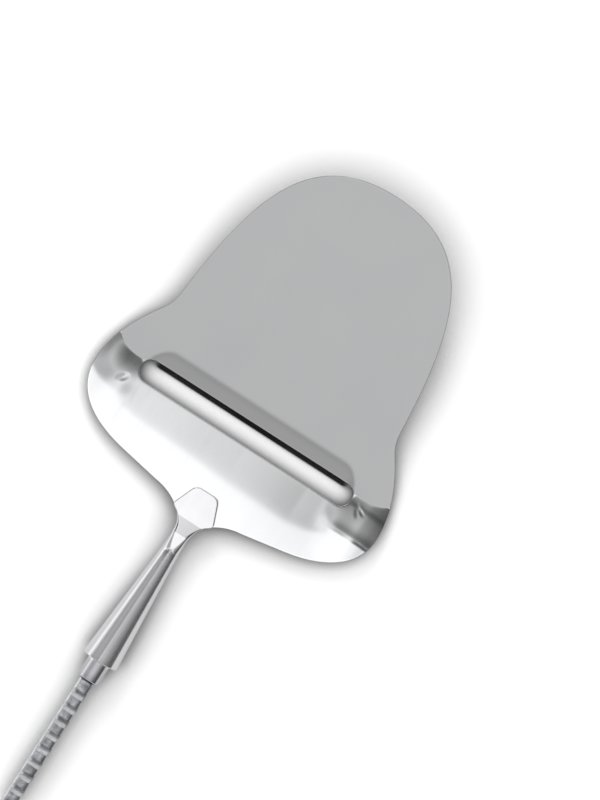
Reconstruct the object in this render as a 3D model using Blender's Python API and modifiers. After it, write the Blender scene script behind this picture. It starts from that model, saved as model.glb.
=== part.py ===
"""Cheese slicer with a bare tang: a stamped blade, a forged stem and a ribbed tang.

Metres, +Z up, +Y towards the tip of the blade, +X to the right seen from above.
The pieces are modelled around the blade, with its spade level and the spade's top
face at z = 0. An empty carries them all and lays them down as they rest on a table,
on the cutting lip and on the rim of the cone.
"""

import math

import bmesh
import bpy
from mathutils import Matrix, Vector

MM = 0.001

# Sheet of the blade, and its outline seen from above, measured from the tail
SHEET = 1.0 * MM
BLADE_LENGTH = 93.8 * MM
TAIL_WIDTH = 9.0 * MM
TAIL_FLARE = math.radians(37.0)
TAIL_ROUND = 5.0 * MM
SHOULDER_WIDTH = 26.0 * MM
SHOULDER_STATION = 3.3 * MM
SHOULDER_SWEEP = math.radians(10.0)
SHOULDER_ROUND = 1.2 * MM
FLANK_INSET = 17.7 * MM
EAR_WIDTH = 82.8 * MM
EAR_STATION = 20.3 * MM
EAR_REAR_ROUND = 9.4 * MM
EAR_FRONT_ROUND = 8.0 * MM
NOTCH_WIDTH = 64.8 * MM
NOTCH_STATION = 42.0 * MM
NOTCH_SLANT = math.radians(36.0)
SPADE_TAPER = math.radians(4.5)
SPADE_SIDE_ROUND = 30.5 * MM
SPADE_TIP_ROUND = 25.5 * MM

# Slot, and the cutting lip that stands into it from the spade
SLOT_LENGTH = 62.0 * MM
SLOT_WIDTH = 5.9 * MM
SLOT_FRONT = 27.4 * MM
LIP_OVERHANG = 1.7 * MM
LIP_REACH = 6.6 * MM
LIP_BEND = 2.8 * MM
LIP_ANGLE = math.radians(12.0)
LIP_RUNOUT = 5.0 * MM
BEVEL_WIDTH = 1.4 * MM
BEVEL_LAND = 0.12 * MM

# Fold that lifts the rear of the blade above the spade
FOLD_STEEP = math.radians(25.0)
REAR_SLOPE = math.radians(12.0)
FOLD_LENGTH = 12.4 * MM
CREASE_SWEEP = 3.0 * MM

# Stem, measured along its own axis from the front of its paddle
PADDLE_STATION = 7.0 * MM
PADDLE_THICKNESS = 2.0 * MM
PADDLE_FRONT_WIDTH = 7.0 * MM
PADDLE_CROWN_WIDTH = 3.5 * MM
PADDLE_CROWN_REACH = 0.35 * MM
PADDLE_WIDTH = 11.5 * MM
PADDLE_WIDEST = 6.0 * MM
PADDLE_FLAT = 9.2 * MM
PADDLE_ROUNDNESS = 0.15
NECK_LENGTH = 12.6 * MM
NECK_DIAMETER = 4.1 * MM
NECK_ROUNDNESS = 0.7
FACET_LENGTH = 3.7 * MM
CONE_LENGTH = 36.2 * MM
CONE_DIAMETER = 9.7 * MM
AXIS_HEIGHT = 1.5 * MM
COLLAR_DIAMETER = 6.0 * MM
COLLAR_LENGTH = 5.5 * MM

# Tang, pressed into a bore in the collar
BORE_DIAMETER = 3.6 * MM
BORE_DEPTH = 9.0 * MM
TANG_LENGTH = 39.0 * MM
TANG_WIDTH = 3.9 * MM
TANG_HEIGHT = 3.9 * MM
TANG_CHAMFER = 0.9 * MM
TANG_TIP = 2.6 * MM
TANG_TIP_HEIGHT = 1.95 * MM
RIB_PITCH = 4.0 * MM
RIB_BASE = 1.5 * MM
RIB_CREST = 0.7 * MM
RIB_HEIGHT = 0.35 * MM

# Resistance welds between paddle and sheet
WELD_DIAMETER = 2.8 * MM
WELD_SPACING = 3.6 * MM
WELD_SETBACK = 1.9 * MM
WELD_SINK = 0.6 * MM

# Gap between faces that touch, and how far a cutter passes the face it opens
SEAT_GAP = 0.3 * MM
CUT_PAST = 1.0 * MM

# Fineness of the meshes
SAME_POINT = 0.001 * MM
ROUND_SEGMENTS = 32
CURVE_STEPS = 12
SMOOTH_LIMIT = math.radians(30.0)
SETTLE_PASSES = 3
QUARTER_TURN = math.radians(90.0)
ARC_HANDLE = 4.0 / 3.0 * (math.sqrt(2.0) - 1.0)

EAR_HALF = EAR_WIDTH / 2
SLOT_HALF = SLOT_LENGTH / 2
SLOT_RADIUS = SLOT_WIDTH / 2
SLOT_MIDDLE = SLOT_FRONT - SLOT_RADIUS
SLOT_REAR = SLOT_FRONT - SLOT_WIDTH
LIP_HALF = SLOT_HALF - SLOT_RADIUS
LIP_STATION = SLOT_FRONT - LIP_OVERHANG
CREASE_START = LIP_HALF + math.sqrt(SLOT_RADIUS ** 2 - (LIP_STATION - SLOT_MIDDLE) ** 2)
PADDLE_TOP = SEAT_GAP + PADDLE_THICKNESS
CONE_BASE = NECK_LENGTH + CONE_LENGTH
COLLAR_END = CONE_BASE + COLLAR_LENGTH


def clear_scene():
    """Remove what a new Blender file holds."""
    for item in list(bpy.data.objects):
        bpy.data.objects.remove(item, do_unlink=True)
    for group in list(bpy.data.collections):
        bpy.data.collections.remove(group)


def make_collection(name):
    group = bpy.data.collections.new(name)
    bpy.context.scene.collection.children.link(group)
    return group


def make_material(name, colour, roughness):
    """A bare metal with one colour and one polish."""
    material = bpy.data.materials.new(name)
    material.use_nodes = True
    shader = material.node_tree.nodes["Principled BSDF"]
    shader.inputs["Base Color"].default_value = (*colour, 1.0)
    shader.inputs["Metallic"].default_value = 1.0
    shader.inputs["Roughness"].default_value = roughness
    return material


def add_object(name, mesh, group, parent=None, material=None):
    item = bpy.data.objects.new(name, mesh)
    group.objects.link(item)
    item.parent = parent
    if material is not None:
        mesh.materials.append(material)
    return item


def add_empty(name, group, parent=None):
    item = bpy.data.objects.new(name, None)
    item.empty_display_size = 10 * MM
    group.objects.link(item)
    item.parent = parent
    return item


def add_cutter(name, mesh, group, parent):
    """A shape that only cuts or joins: drawn as wire and never rendered."""
    item = add_object(name, mesh, group, parent)
    item.display_type = "WIRE"
    item.hide_render = True
    return item


def combine(item, tool, operation):
    step = item.modifiers.new(tool.name, "BOOLEAN")
    step.operation = operation
    step.object = tool


def shade_round(mesh):
    mesh.shade_smooth()
    mesh.set_sharp_from_angle(angle=SMOOTH_LIMIT)


def rod_mesh(name, diameter, length, centre):
    """A cylinder along Y about a centre point."""
    mesh = bpy.data.meshes.new(name)
    shape = bmesh.new()
    bmesh.ops.create_cone(
        shape, cap_ends=True, segments=ROUND_SEGMENTS, radius1=diameter / 2,
        radius2=diameter / 2, depth=length,
        matrix=Matrix.Translation(centre) @ Matrix.Rotation(QUARTER_TURN, 4, "X"))
    shape.to_mesh(mesh)
    shape.free()
    return mesh


def polygon_prism(name, points, length):
    """A closed outline in XY, extruded evenly about its plane, as a closed mesh."""
    curve = bpy.data.curves.new(name, "CURVE")
    curve.dimensions = "2D"
    curve.fill_mode = "BOTH"
    curve.extrude = length / 2
    spline = curve.splines.new("POLY")
    spline.points.add(len(points) - 1)
    for knot, (x, y) in zip(spline.points, points):
        knot.co = (x, y, 0.0, 1.0)
    spline.use_cyclic_u = True
    mesh = curve_to_mesh(name, curve)
    mesh.shade_flat()
    return mesh


def curve_to_mesh(name, curve):
    """Turn a curve into a mesh with its caps welded on."""
    holder = bpy.data.objects.new(name, curve)
    bpy.context.scene.collection.objects.link(holder)
    graph = bpy.context.evaluated_depsgraph_get()
    mesh = bpy.data.meshes.new_from_object(holder.evaluated_get(graph))
    bpy.data.objects.remove(holder, do_unlink=True)
    bpy.data.curves.remove(curve)
    mesh.name = name
    shape = bmesh.new()
    shape.from_mesh(mesh)
    bmesh.ops.remove_doubles(shape, verts=shape.verts[:], dist=SAME_POINT)
    shape.to_mesh(mesh)
    shape.free()
    return mesh


def crease_offset(x):
    """How far the crease runs forward of the lip, out on the ears."""
    out = max(abs(x) - CREASE_START, 0.0) / (EAR_HALF - CREASE_START)
    return CREASE_SWEEP * out ** 3


def lip_reach(x):
    """How far ahead of its edge the lip starts to bend: the line rounds off at both ends."""
    out = (abs(x) - CREASE_START + LIP_RUNOUT) / LIP_RUNOUT
    out = min(max(out, 0.0), 1.0)
    return LIP_REACH * math.sqrt(1.0 - out * out)


def bent_height(run, bend, start_slope, end_slope):
    """Height gained over a run whose slope changes evenly along its bend."""
    inside = min(run, bend)
    curved = inside * start_slope + (end_slope - start_slope) * inside * inside / (2 * bend)
    return curved + (run - inside) * end_slope


def sheet_height(x, y):
    """Height of the sheet's top face: raised behind the crease, bent down at the lip."""
    behind = LIP_STATION + crease_offset(x) - y
    if behind > SAME_POINT:
        return bent_height(behind, FOLD_LENGTH, math.tan(FOLD_STEEP), math.tan(REAR_SLOPE))
    into_lip = max(LIP_STATION + lip_reach(x) - y, 0.0)
    return -bent_height(into_lip, LIP_BEND, 0.0, math.tan(LIP_ANGLE))


def direction(angle):
    return Vector((math.cos(angle), math.sin(angle)))


def half_outline():
    """Knots of the blade's right half: point, handle behind it, handle ahead of it.

    A missing handle makes the stretch on that side straight.
    """
    shoulder = Vector((SHOULDER_WIDTH / 2, SHOULDER_STATION))
    sweep = direction(SHOULDER_SWEEP)
    flank = Vector((EAR_HALF - FLANK_INSET, 0.0))
    flank.y = shoulder.y + (flank.x - shoulder.x) * math.tan(SHOULDER_SWEEP)
    ear = Vector((EAR_HALF, EAR_STATION))
    notch = Vector((NOTCH_WIDTH / 2, NOTCH_STATION))
    into_notch = direction(QUARTER_TURN + NOTCH_SLANT)
    out_of_notch = direction(QUARTER_TURN + SPADE_TAPER)
    tail = Vector((TAIL_WIDTH / 2, 0.0))
    pull = SLOT_RADIUS * ARC_HANDLE
    forward = Vector((0.0, 1.0))
    sideways = Vector((1.0, 0.0))
    tip = Vector((0.0, BLADE_LENGTH))
    lip_corner = Vector((LIP_HALF, LIP_STATION))
    front_corner = Vector((LIP_HALF, SLOT_FRONT))
    slot_tip = Vector((SLOT_HALF, SLOT_MIDDLE))
    rear_corner = Vector((LIP_HALF, SLOT_REAR))
    return [
        (Vector((0.0, 0.0)), None, None),
        (tail, None, tail + direction(TAIL_FLARE) * TAIL_ROUND),
        (shoulder, shoulder - sweep * SHOULDER_ROUND, None),
        (flank, None, flank + sweep * EAR_REAR_ROUND),
        (ear, ear - forward * EAR_REAR_ROUND, ear + forward * EAR_FRONT_ROUND),
        (notch, notch - into_notch * EAR_FRONT_ROUND, notch + out_of_notch * SPADE_SIDE_ROUND),
        (tip, tip + sideways * SPADE_TIP_ROUND, None),
        (Vector((0.0, LIP_STATION)), None, None),
        (lip_corner, None, None),
        (front_corner, None, front_corner + sideways * pull),
        (slot_tip, slot_tip + forward * pull, slot_tip - forward * pull),
        (rear_corner, rear_corner + sideways * pull, None),
        (Vector((0.0, SLOT_REAR)), None, None),
    ]


def half_sheet_mesh():
    """The flat right half of the blade as one face."""
    curve = bpy.data.curves.new("half_sheet", "CURVE")
    curve.dimensions = "2D"
    curve.fill_mode = "NONE"
    curve.resolution_u = CURVE_STEPS
    knots = half_outline()
    spline = curve.splines.new("BEZIER")
    spline.bezier_points.add(len(knots) - 1)
    for knot, (point, behind, ahead) in zip(spline.bezier_points, knots):
        knot.co = point.to_3d()
        knot.handle_left_type = "VECTOR" if behind is None else "FREE"
        knot.handle_right_type = "VECTOR" if ahead is None else "FREE"
        if behind is not None:
            knot.handle_left = behind.to_3d()
        if ahead is not None:
            knot.handle_right = ahead.to_3d()
    spline.use_cyclic_u = True
    return curve_to_mesh("blade", curve)


def cut_line(shape, point, normal):
    """Add an edge across the sheet where a bend or a fade needs one."""
    bmesh.ops.bisect_plane(
        shape, geom=shape.verts[:] + shape.edges[:] + shape.faces[:],
        dist=SAME_POINT, plane_co=point, plane_no=normal)


def bend_sheet(mesh):
    """Split the flat sheet along its bends and lift each point to its height."""
    shape = bmesh.new()
    shape.from_mesh(mesh)
    bmesh.ops.contextual_create(shape, geom=shape.edges[:])
    columns = [CREASE_START - LIP_RUNOUT * share for share in (1.0, 0.6, 0.3, 0.1)]
    columns += [SLOT_HALF + (EAR_HALF - SLOT_HALF) * share for share in (0.0, 0.4, 0.6, 0.8)]
    for x in columns:
        cut_line(shape, (x, 0.0, 0.0), (1.0, 0.0, 0.0))
    for vert in shape.verts:
        vert.co.y -= crease_offset(vert.co.x)
    rows = [LIP_STATION - FOLD_LENGTH * share for share in (0.0, 0.2, 0.4, 0.6, 0.8, 1.0)]
    rows += [LIP_STATION + LIP_REACH - LIP_BEND * share for share in (0.0, 0.5, 1.0)]
    for y in rows:
        cut_line(shape, (0.0, y, 0.0), (0.0, 1.0, 0.0))
    for vert in shape.verts:
        vert.co.y += crease_offset(vert.co.x)
    bmesh.ops.triangulate(shape, faces=shape.faces[:])
    for vert in shape.verts:
        vert.co.z = sheet_height(vert.co.x, vert.co.y)
    bmesh.ops.recalc_face_normals(shape, faces=shape.faces[:])
    if sum(face.normal.z for face in shape.faces) < 0:
        bmesh.ops.reverse_faces(shape, faces=shape.faces[:])
    shape.to_mesh(mesh)
    shape.free()


def bevel_cutter_mesh():
    """A block whose lower face is the ground bevel along the lip's edge."""
    slope = math.tan(LIP_ANGLE)
    edge = Vector((0.0, LIP_STATION, sheet_height(0.0, LIP_STATION)))
    down = Vector((0.0, math.sin(LIP_ANGLE), -math.cos(LIP_ANGLE)))
    low = edge + down * (SHEET - BEVEL_LAND)
    high = edge + Vector((0.0, BEVEL_WIDTH, BEVEL_WIDTH * slope))
    along = high - low
    angle = math.atan2(along.z, along.y)
    depth = along.length + 2 * CUT_PAST
    height = SHEET + CUT_PAST
    length = 2 * (LIP_HALF + SEAT_GAP)
    mesh = bpy.data.meshes.new("bevel_cutter")
    shape = bmesh.new()
    bmesh.ops.create_cube(
        shape, size=1.0,
        matrix=Matrix.Translation((low + high) / 2) @ Matrix.Rotation(angle, 4, "X")
        @ Matrix.Translation((0.0, 0.0, height / 2)) @ Matrix.Diagonal((length, depth, height, 1.0)))
    shape.to_mesh(mesh)
    shape.free()
    return mesh


def make_blade(parts, cutters, root, material):
    mesh = half_sheet_mesh()
    bend_sheet(mesh)
    blade = add_object("blade", mesh, parts, root, material)
    mirror = blade.modifiers.new("other_half", "MIRROR")
    mirror.merge_threshold = SAME_POINT
    wall = blade.modifiers.new("sheet", "SOLIDIFY")
    wall.thickness = SHEET
    wall.offset = -1.0
    wall.use_quality_normals = True
    grind = add_cutter("bevel_cutter", bevel_cutter_mesh(), cutters, root)
    combine(blade, grind, "DIFFERENCE")
    return blade


def ring_points(station, half_width, low, high, roundness):
    """One section of the stem: a rectangle at roundness 0, an ellipse at 1."""
    points = []
    middle = (low + high) / 2
    for index in range(ROUND_SEGMENTS):
        angle = 2.0 * math.pi * index / ROUND_SEGMENTS
        across, up = math.cos(angle), math.sin(angle)
        square = 1.0 / max(abs(across), abs(up))
        reach = square + (1.0 - square) * roundness
        points.append((across * reach * half_width, -station, middle + up * reach * (high - low) / 2))
    return points


def round_section(station, radius):
    return ring_points(station, radius, AXIS_HEIGHT - radius, AXIS_HEIGHT + radius, 1.0)


def stem_sections():
    """Sections from the paddle's front edge back to the end of the collar."""
    neck = NECK_DIAMETER / 2
    base = CONE_DIAMETER / 2
    facet_end = NECK_LENGTH + FACET_LENGTH
    facet_radius = neck + (base - neck) * FACET_LENGTH / CONE_LENGTH
    straight = (PADDLE_FLAT - PADDLE_WIDEST) / (NECK_LENGTH - PADDLE_WIDEST)
    flat_end_width = PADDLE_WIDTH / 2 + (neck - PADDLE_WIDTH / 2) * straight
    return [
        ring_points(-PADDLE_CROWN_REACH, PADDLE_CROWN_WIDTH / 2, SEAT_GAP, PADDLE_TOP, 0.0),
        ring_points(0.0, PADDLE_FRONT_WIDTH / 2, SEAT_GAP, PADDLE_TOP, 0.0),
        ring_points(PADDLE_WIDEST, PADDLE_WIDTH / 2, SEAT_GAP, PADDLE_TOP, 0.0),
        ring_points(PADDLE_FLAT, flat_end_width, SEAT_GAP, PADDLE_TOP, PADDLE_ROUNDNESS),
        ring_points(NECK_LENGTH, neck, AXIS_HEIGHT - neck, AXIS_HEIGHT + neck, NECK_ROUNDNESS),
        round_section(facet_end, facet_radius),
        round_section(CONE_BASE, base),
        round_section(CONE_BASE, COLLAR_DIAMETER / 2),
        round_section(COLLAR_END, COLLAR_DIAMETER / 2),
    ]


def loft_mesh(name, sections):
    """A closed body through a row of sections that have equal point counts."""
    mesh = bpy.data.meshes.new(name)
    shape = bmesh.new()
    rings = [[shape.verts.new(point) for point in section] for section in sections]
    for ahead, behind in zip(rings, rings[1:]):
        for index in range(len(ahead)):
            after = (index + 1) % len(ahead)
            shape.faces.new((ahead[index], ahead[after], behind[after], behind[index]))
    shape.faces.new(rings[0])
    shape.faces.new(rings[-1])
    bmesh.ops.recalc_face_normals(shape, faces=shape.faces[:])
    shape.to_mesh(mesh)
    shape.free()
    return mesh


def make_stem(parts, cutters, seat, material):
    mesh = loft_mesh("stem", stem_sections())
    shade_round(mesh)
    stem = add_object("stem", mesh, parts, seat, material)
    length = BORE_DEPTH + CUT_PAST
    centre = (0.0, -(COLLAR_END + CUT_PAST - length / 2), AXIS_HEIGHT)
    bore = add_cutter("bore_cutter", rod_mesh("bore", BORE_DIAMETER, length, centre), cutters, seat)
    combine(stem, bore, "DIFFERENCE")
    return stem


def rib_edge():
    """Stations and heights along one ribbed edge of the tang, from shoulder to tip."""
    half = TANG_HEIGHT / 2
    edge = [(0.0, half)]
    station = RIB_PITCH
    while station + RIB_BASE / 2 < TANG_LENGTH - TANG_TIP:
        edge.append((station - RIB_BASE / 2, half))
        edge.append((station - RIB_CREST / 2, half + RIB_HEIGHT))
        edge.append((station + RIB_CREST / 2, half + RIB_HEIGHT))
        edge.append((station + RIB_BASE / 2, half))
        station += RIB_PITCH
    edge.append((TANG_LENGTH - TANG_TIP, half))
    edge.append((TANG_LENGTH, TANG_TIP_HEIGHT / 2))
    return edge


def tang_profile_mesh():
    """The tang seen from the side, with ribs above and below, extruded to its width."""
    upper = rib_edge()
    lower = [(station, -height) for station, height in reversed(upper)]
    mesh = polygon_prism("tang", upper + lower, TANG_WIDTH)
    turn = Matrix.Rotation(-QUARTER_TURN, 4, "Z") @ Matrix.Rotation(QUARTER_TURN, 4, "X")
    start = COLLAR_END + SEAT_GAP
    mesh.transform(Matrix.Translation((0.0, -start, AXIS_HEIGHT)) @ turn)
    return mesh


def chamfered_bar_mesh():
    """An eight-sided bar that trims the tang's long edges."""
    across = TANG_WIDTH / 2 + CUT_PAST
    up = TANG_HEIGHT / 2 + RIB_HEIGHT + CUT_PAST
    corner = TANG_WIDTH / 2 + TANG_HEIGHT / 2 - TANG_CHAMFER
    points = []
    for side, level in ((1, 1), (-1, 1), (-1, -1), (1, -1)):
        flat = (side * (corner - up), level * up)
        wall = (side * across, level * (corner - across))
        points += [wall, flat] if side == level else [flat, wall]
    length = TANG_LENGTH + 2 * CUT_PAST
    mesh = polygon_prism("chamfer_bar", points, length)
    middle = COLLAR_END + SEAT_GAP + TANG_LENGTH / 2
    mesh.transform(Matrix.Translation((0.0, -middle, AXIS_HEIGHT)) @ Matrix.Rotation(QUARTER_TURN, 4, "X"))
    return mesh


def make_tang(parts, cutters, seat, material):
    mesh = tang_profile_mesh()
    tang = add_object("tang", mesh, parts, seat, material)
    bar = add_cutter("chamfer_bar", chamfered_bar_mesh(), cutters, seat)
    combine(tang, bar, "INTERSECT")
    front = COLLAR_END - BORE_DEPTH + SEAT_GAP
    back = COLLAR_END + SEAT_GAP + CUT_PAST
    centre = (0.0, -(front + back) / 2, AXIS_HEIGHT)
    diameter = BORE_DIAMETER - 2 * SEAT_GAP
    pin = add_cutter("tang_pin", rod_mesh("tang_pin", diameter, back - front, centre), cutters, seat)
    combine(tang, pin, "UNION")
    return tang


def disc_mesh(name, diameter, low, high, station):
    """An upright disc in the stem's frame."""
    mesh = bpy.data.meshes.new(name)
    shape = bmesh.new()
    bmesh.ops.create_cone(
        shape, cap_ends=True, segments=ROUND_SEGMENTS // 2, radius1=diameter / 2,
        radius2=diameter / 2, depth=high - low,
        matrix=Matrix.Translation((0.0, -station, (low + high) / 2)))
    shape.to_mesh(mesh)
    shape.free()
    return mesh


def make_welds(parts, cutters, seat, blade, stem, material):
    """Two weld nuggets, each in a pocket that spans the sheet and the paddle."""
    low, high = -WELD_SINK, SEAT_GAP + WELD_SINK
    for index, name in enumerate(("weld_nugget_front", "weld_nugget_rear")):
        station = WELD_SETBACK + index * WELD_SPACING
        mesh = disc_mesh(name, WELD_DIAMETER, low + SEAT_GAP, high - SEAT_GAP, station)
        add_object(name, mesh, parts, seat, material)
        pocket = disc_mesh(name + "_pocket", WELD_DIAMETER + 2 * SEAT_GAP, low, high, station)
        cutter = add_cutter(name + "_pocket", pocket, cutters, seat)
        combine(blade, cutter, "DIFFERENCE")
        combine(stem, cutter, "DIFFERENCE")


def world_shapes(items):
    """Evaluated points of every piece, and the whole part's centre of mass."""
    graph = bpy.context.evaluated_depsgraph_get()
    points = []
    moment = Vector((0.0, 0.0, 0.0))
    total = 0.0
    for item in items:
        shape = bmesh.new()
        shape.from_object(item, graph)
        shape.transform(item.matrix_world)
        points += [vert.co.copy() for vert in shape.verts]
        for loops in shape.calc_loop_triangles():
            a, b, c = (loop.vert.co for loop in loops)
            volume = a.dot(b.cross(c)) / 6.0
            moment += volume * (a + b + c) / 4.0
            total += volume
        shape.free()
    return points, moment / total


def underside(points):
    """Lower boundary of the part seen from the side, from back to front."""
    chain = []
    for y, z in sorted((point.y, point.z) for point in points):
        while len(chain) > 1:
            (y0, z0), (y1, z1) = chain[-2:]
            if (y1 - y0) * (z - z0) - (z1 - z0) * (y - y0) > 0:
                break
            chain.pop()
        chain.append((y, z))
    return chain


def resting_tilt(points, centre):
    """Angle about X that levels the two contacts on either side of the centre of mass."""
    chain = underside(points)
    for (y0, z0), (y1, z1) in zip(chain, chain[1:]):
        if y0 <= centre.y <= y1:
            return -math.atan2(z1 - z0, y1 - y0)
    raise ValueError("the centre of mass lies outside the part")


def lay_down(root, items):
    """Turn the part to its resting pose, its box centred over the origin at z = 0."""
    bpy.context.view_layer.update()
    points, centre = world_shapes(items)
    for settle in range(SETTLE_PASSES):
        tilt = resting_tilt(points, centre)
        turn = Matrix.Rotation(tilt, 4, "X")
        points = [turn @ point for point in points]
        centre = turn @ centre
        root.rotation_euler.x += tilt
    lows = [min(point[axis] for point in points) for axis in range(3)]
    highs = [max(point[axis] for point in points) for axis in range(3)]
    root.location = (-(lows[0] + highs[0]) / 2, -(lows[1] + highs[1]) / 2, -lows[2])
    bpy.context.view_layer.update()


def main():
    clear_scene()
    parts = make_collection("cheese_slicer")
    cutters = make_collection("cutters")
    sheet_steel = make_material("stamped_stainless", (0.62, 0.62, 0.63), 0.28)
    stem_steel = make_material("polished_stainless", (0.60, 0.60, 0.62), 0.16)
    tang_steel = make_material("as_forged_steel", (0.42, 0.43, 0.44), 0.45)
    weld_steel = make_material("weld_metal", (0.45, 0.44, 0.43), 0.5)
    root = add_empty("resting_frame", parts)
    seat = add_empty("stem_frame", parts, root)
    seat.location = (0.0, PADDLE_STATION, sheet_height(0.0, PADDLE_STATION))
    seat.rotation_euler.x = -REAR_SLOPE
    blade = make_blade(parts, cutters, root, sheet_steel)
    stem = make_stem(parts, cutters, seat, stem_steel)
    make_tang(parts, cutters, seat, tang_steel)
    make_welds(parts, cutters, seat, blade, stem, weld_steel)
    lay_down(root, [item for item in parts.objects if item.type == "MESH"])


main()
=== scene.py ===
"""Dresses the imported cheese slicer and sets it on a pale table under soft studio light.

The slicer lies without a handle and is seen from straight above. The stamped sheet, the
forged stem, the ribbed tang and the welds are built as fine surfaces over their solids, in
the same resting pose. Sizes are in millimetres and become metres when a mesh is made.
"""

import logging
import math
from collections.abc import Mapping, Sequence
from dataclasses import dataclass, field
from enum import Enum
from functools import cached_property

import bmesh
import bpy
import numpy as np
from mathutils import Matrix, Vector, noise
from mathutils.geometry import delaunay_2d_cdt


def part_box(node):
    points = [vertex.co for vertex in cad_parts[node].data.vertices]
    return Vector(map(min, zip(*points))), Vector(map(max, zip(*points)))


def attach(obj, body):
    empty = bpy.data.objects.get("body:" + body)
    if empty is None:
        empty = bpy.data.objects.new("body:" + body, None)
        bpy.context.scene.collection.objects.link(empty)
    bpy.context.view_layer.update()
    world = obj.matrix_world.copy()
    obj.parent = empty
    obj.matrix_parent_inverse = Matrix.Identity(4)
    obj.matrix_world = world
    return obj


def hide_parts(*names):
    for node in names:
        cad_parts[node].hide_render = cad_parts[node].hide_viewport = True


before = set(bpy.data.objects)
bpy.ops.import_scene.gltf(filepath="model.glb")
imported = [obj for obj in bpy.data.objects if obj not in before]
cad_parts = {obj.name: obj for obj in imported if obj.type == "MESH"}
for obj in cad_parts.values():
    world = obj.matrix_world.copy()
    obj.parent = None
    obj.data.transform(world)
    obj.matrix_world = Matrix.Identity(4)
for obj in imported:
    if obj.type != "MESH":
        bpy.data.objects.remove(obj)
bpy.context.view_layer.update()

LOG = logging.getLogger("cheese_slicer")
MM = 0.001
# Points of a mesh that are closer than this become one, in millimetres.
MERGED = 0.001

Array = np.ndarray
Colour = tuple[float, float, float, float]
Inputs = Mapping[str | int, object]
Socket = bpy.types.NodeSocket
Span = tuple[float, float]
Table = tuple[Span, ...]
Tree = bpy.types.NodeTree


class Node(Enum):
    """CAD nodes that the dressed pieces stand for."""

    BLADE = "blade"
    STEM = "stem"
    TANG = "tang"
    WELD_FRONT = "weld_nugget_front"
    WELD_REAR = "weld_nugget_rear"


class Slot(Enum):
    """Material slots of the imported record."""

    BLADE = "blade_steel"
    STEM = "stem_steel"
    TANG = "tang_steel"
    WELD = "weld_metal"


def linear(shade: str) -> Colour:
    """Turn an sRGB hex colour into a linear one.

    Args:
        shade: Colour as "#RRGGBB".

    Returns:
        Linear red, green, blue and a full alpha.
    """
    channels = [int(shade[start:start + 2], 16) / 255 for start in (1, 3, 5)]
    red, green, blue = (
        value / 12.92 if value <= 0.04045 else ((value + 0.055) / 1.055) ** 2.4
        for value in channels
    )
    return red, green, blue, 1.0


def add_node(tree: Tree, kind: str, inputs: Inputs = {}, **settings: object) -> bpy.types.Node:
    """Add a node with its settings and what feeds its inputs.

    Args:
        tree: Node tree that gets the node.
        kind: Blender's name of the node's type.
        inputs: Value or feeding socket of each input, by name or number.
        settings: Properties of the node itself.

    Returns:
        The new node.
    """
    node = tree.nodes.new(kind)
    for name, setting in settings.items():
        setattr(node, name, setting)
    for key, given in inputs.items():
        if isinstance(given, Socket):
            tree.links.new(given, node.inputs[key])
        else:
            node.inputs[key].default_value = given
    return node


def step_up(value: Array, start: float, end: float) -> Array:
    """Rise smoothly from 0 at start to 1 at end.

    Args:
        value: Where to take the step.
        start: Value up to which the result is 0.
        end: Value from which the result is 1.

    Returns:
        The smooth step at each value.
    """
    share = np.clip((np.asarray(value) - start) / (end - start), 0.0, 1.0)
    return share * share * (3.0 - 2.0 * share)


def direction(degrees: float) -> Array:
    """Give the unit vector at an angle from +X in the sheet's plane."""
    angle = math.radians(degrees)
    return np.array((math.cos(angle), math.sin(angle)))


def slope(degrees: float) -> float:
    """Give the rise per run of an angle."""
    return math.tan(math.radians(degrees))


def placed(points: Array, matrix: Matrix) -> Array:
    """Carry points from a piece's own frame to the shared frame.

    Args:
        points: Points in millimetres.
        matrix: Place of the piece's frame, in millimetres.

    Returns:
        The points in metres.
    """
    turn = np.array(matrix.to_3x3())
    return (points @ turn.T + np.array(matrix.translation)) * MM


def closed_mesh(
    name: str, points: Array, faces: Sequence[Sequence[int]], sharp: float
) -> bpy.types.Mesh:
    """Make a smooth mesh whose faces look outwards, with points that coincide made one.

    Args:
        name: Name of the mesh.
        points: Corner points in metres.
        faces: Corner numbers of each face.
        sharp: Smallest angle at an edge that shows as an edge, in degrees.

    Returns:
        The mesh.
    """
    mesh = bpy.data.meshes.new(name)
    mesh.from_pydata(points.tolist(), [], faces)
    shell = bmesh.new()
    shell.from_mesh(mesh)
    bmesh.ops.remove_doubles(shell, verts=shell.verts, dist=MERGED * MM)
    bmesh.ops.recalc_face_normals(shell, faces=shell.faces)
    shell.to_mesh(mesh)
    shell.free()
    mesh.shade_smooth()
    mesh.set_sharp_from_angle(angle=math.radians(sharp))
    return mesh


def add_object(name: str, data: bpy.types.ID) -> bpy.types.Object:
    """Link a mesh, a lamp or a camera to the scene as an object at the origin."""
    added = bpy.data.objects.new(name, data)
    bpy.context.scene.collection.objects.link(added)
    return added


def hand_over(
    piece: bpy.types.Object, material: bpy.types.Material, node: Node
) -> None:
    """Dress a finished piece, hang it from the root and hide the CAD node that it stands for.

    Args:
        piece: The finished piece.
        material: Its finish.
        node: CAD node that the piece stands for.
    """
    piece.data.materials.clear()
    piece.data.materials.append(material)
    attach(piece, "root")
    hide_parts(node.value)
    LOG.info("%s: %d faces", piece.name, len(piece.data.polygons))


def ring_faces(rings: int, around: int) -> list[tuple[int, ...]]:
    """Join rings of points by quads and close both ends.

    Args:
        rings: Number of rings, one after the other.
        around: Number of points in each ring.

    Returns:
        Corner numbers of each face.
    """
    faces: list[tuple[int, ...]] = []
    for ring in range(rings - 1):
        for index in range(around):
            near, far = ring * around, (ring + 1) * around
            after = (index + 1) % around
            faces.append((near + index, near + after, far + after, far + index))
    faces.append(tuple(range(around)))
    faces.append(tuple(range((rings - 1) * around, rings * around)))
    return faces


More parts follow.
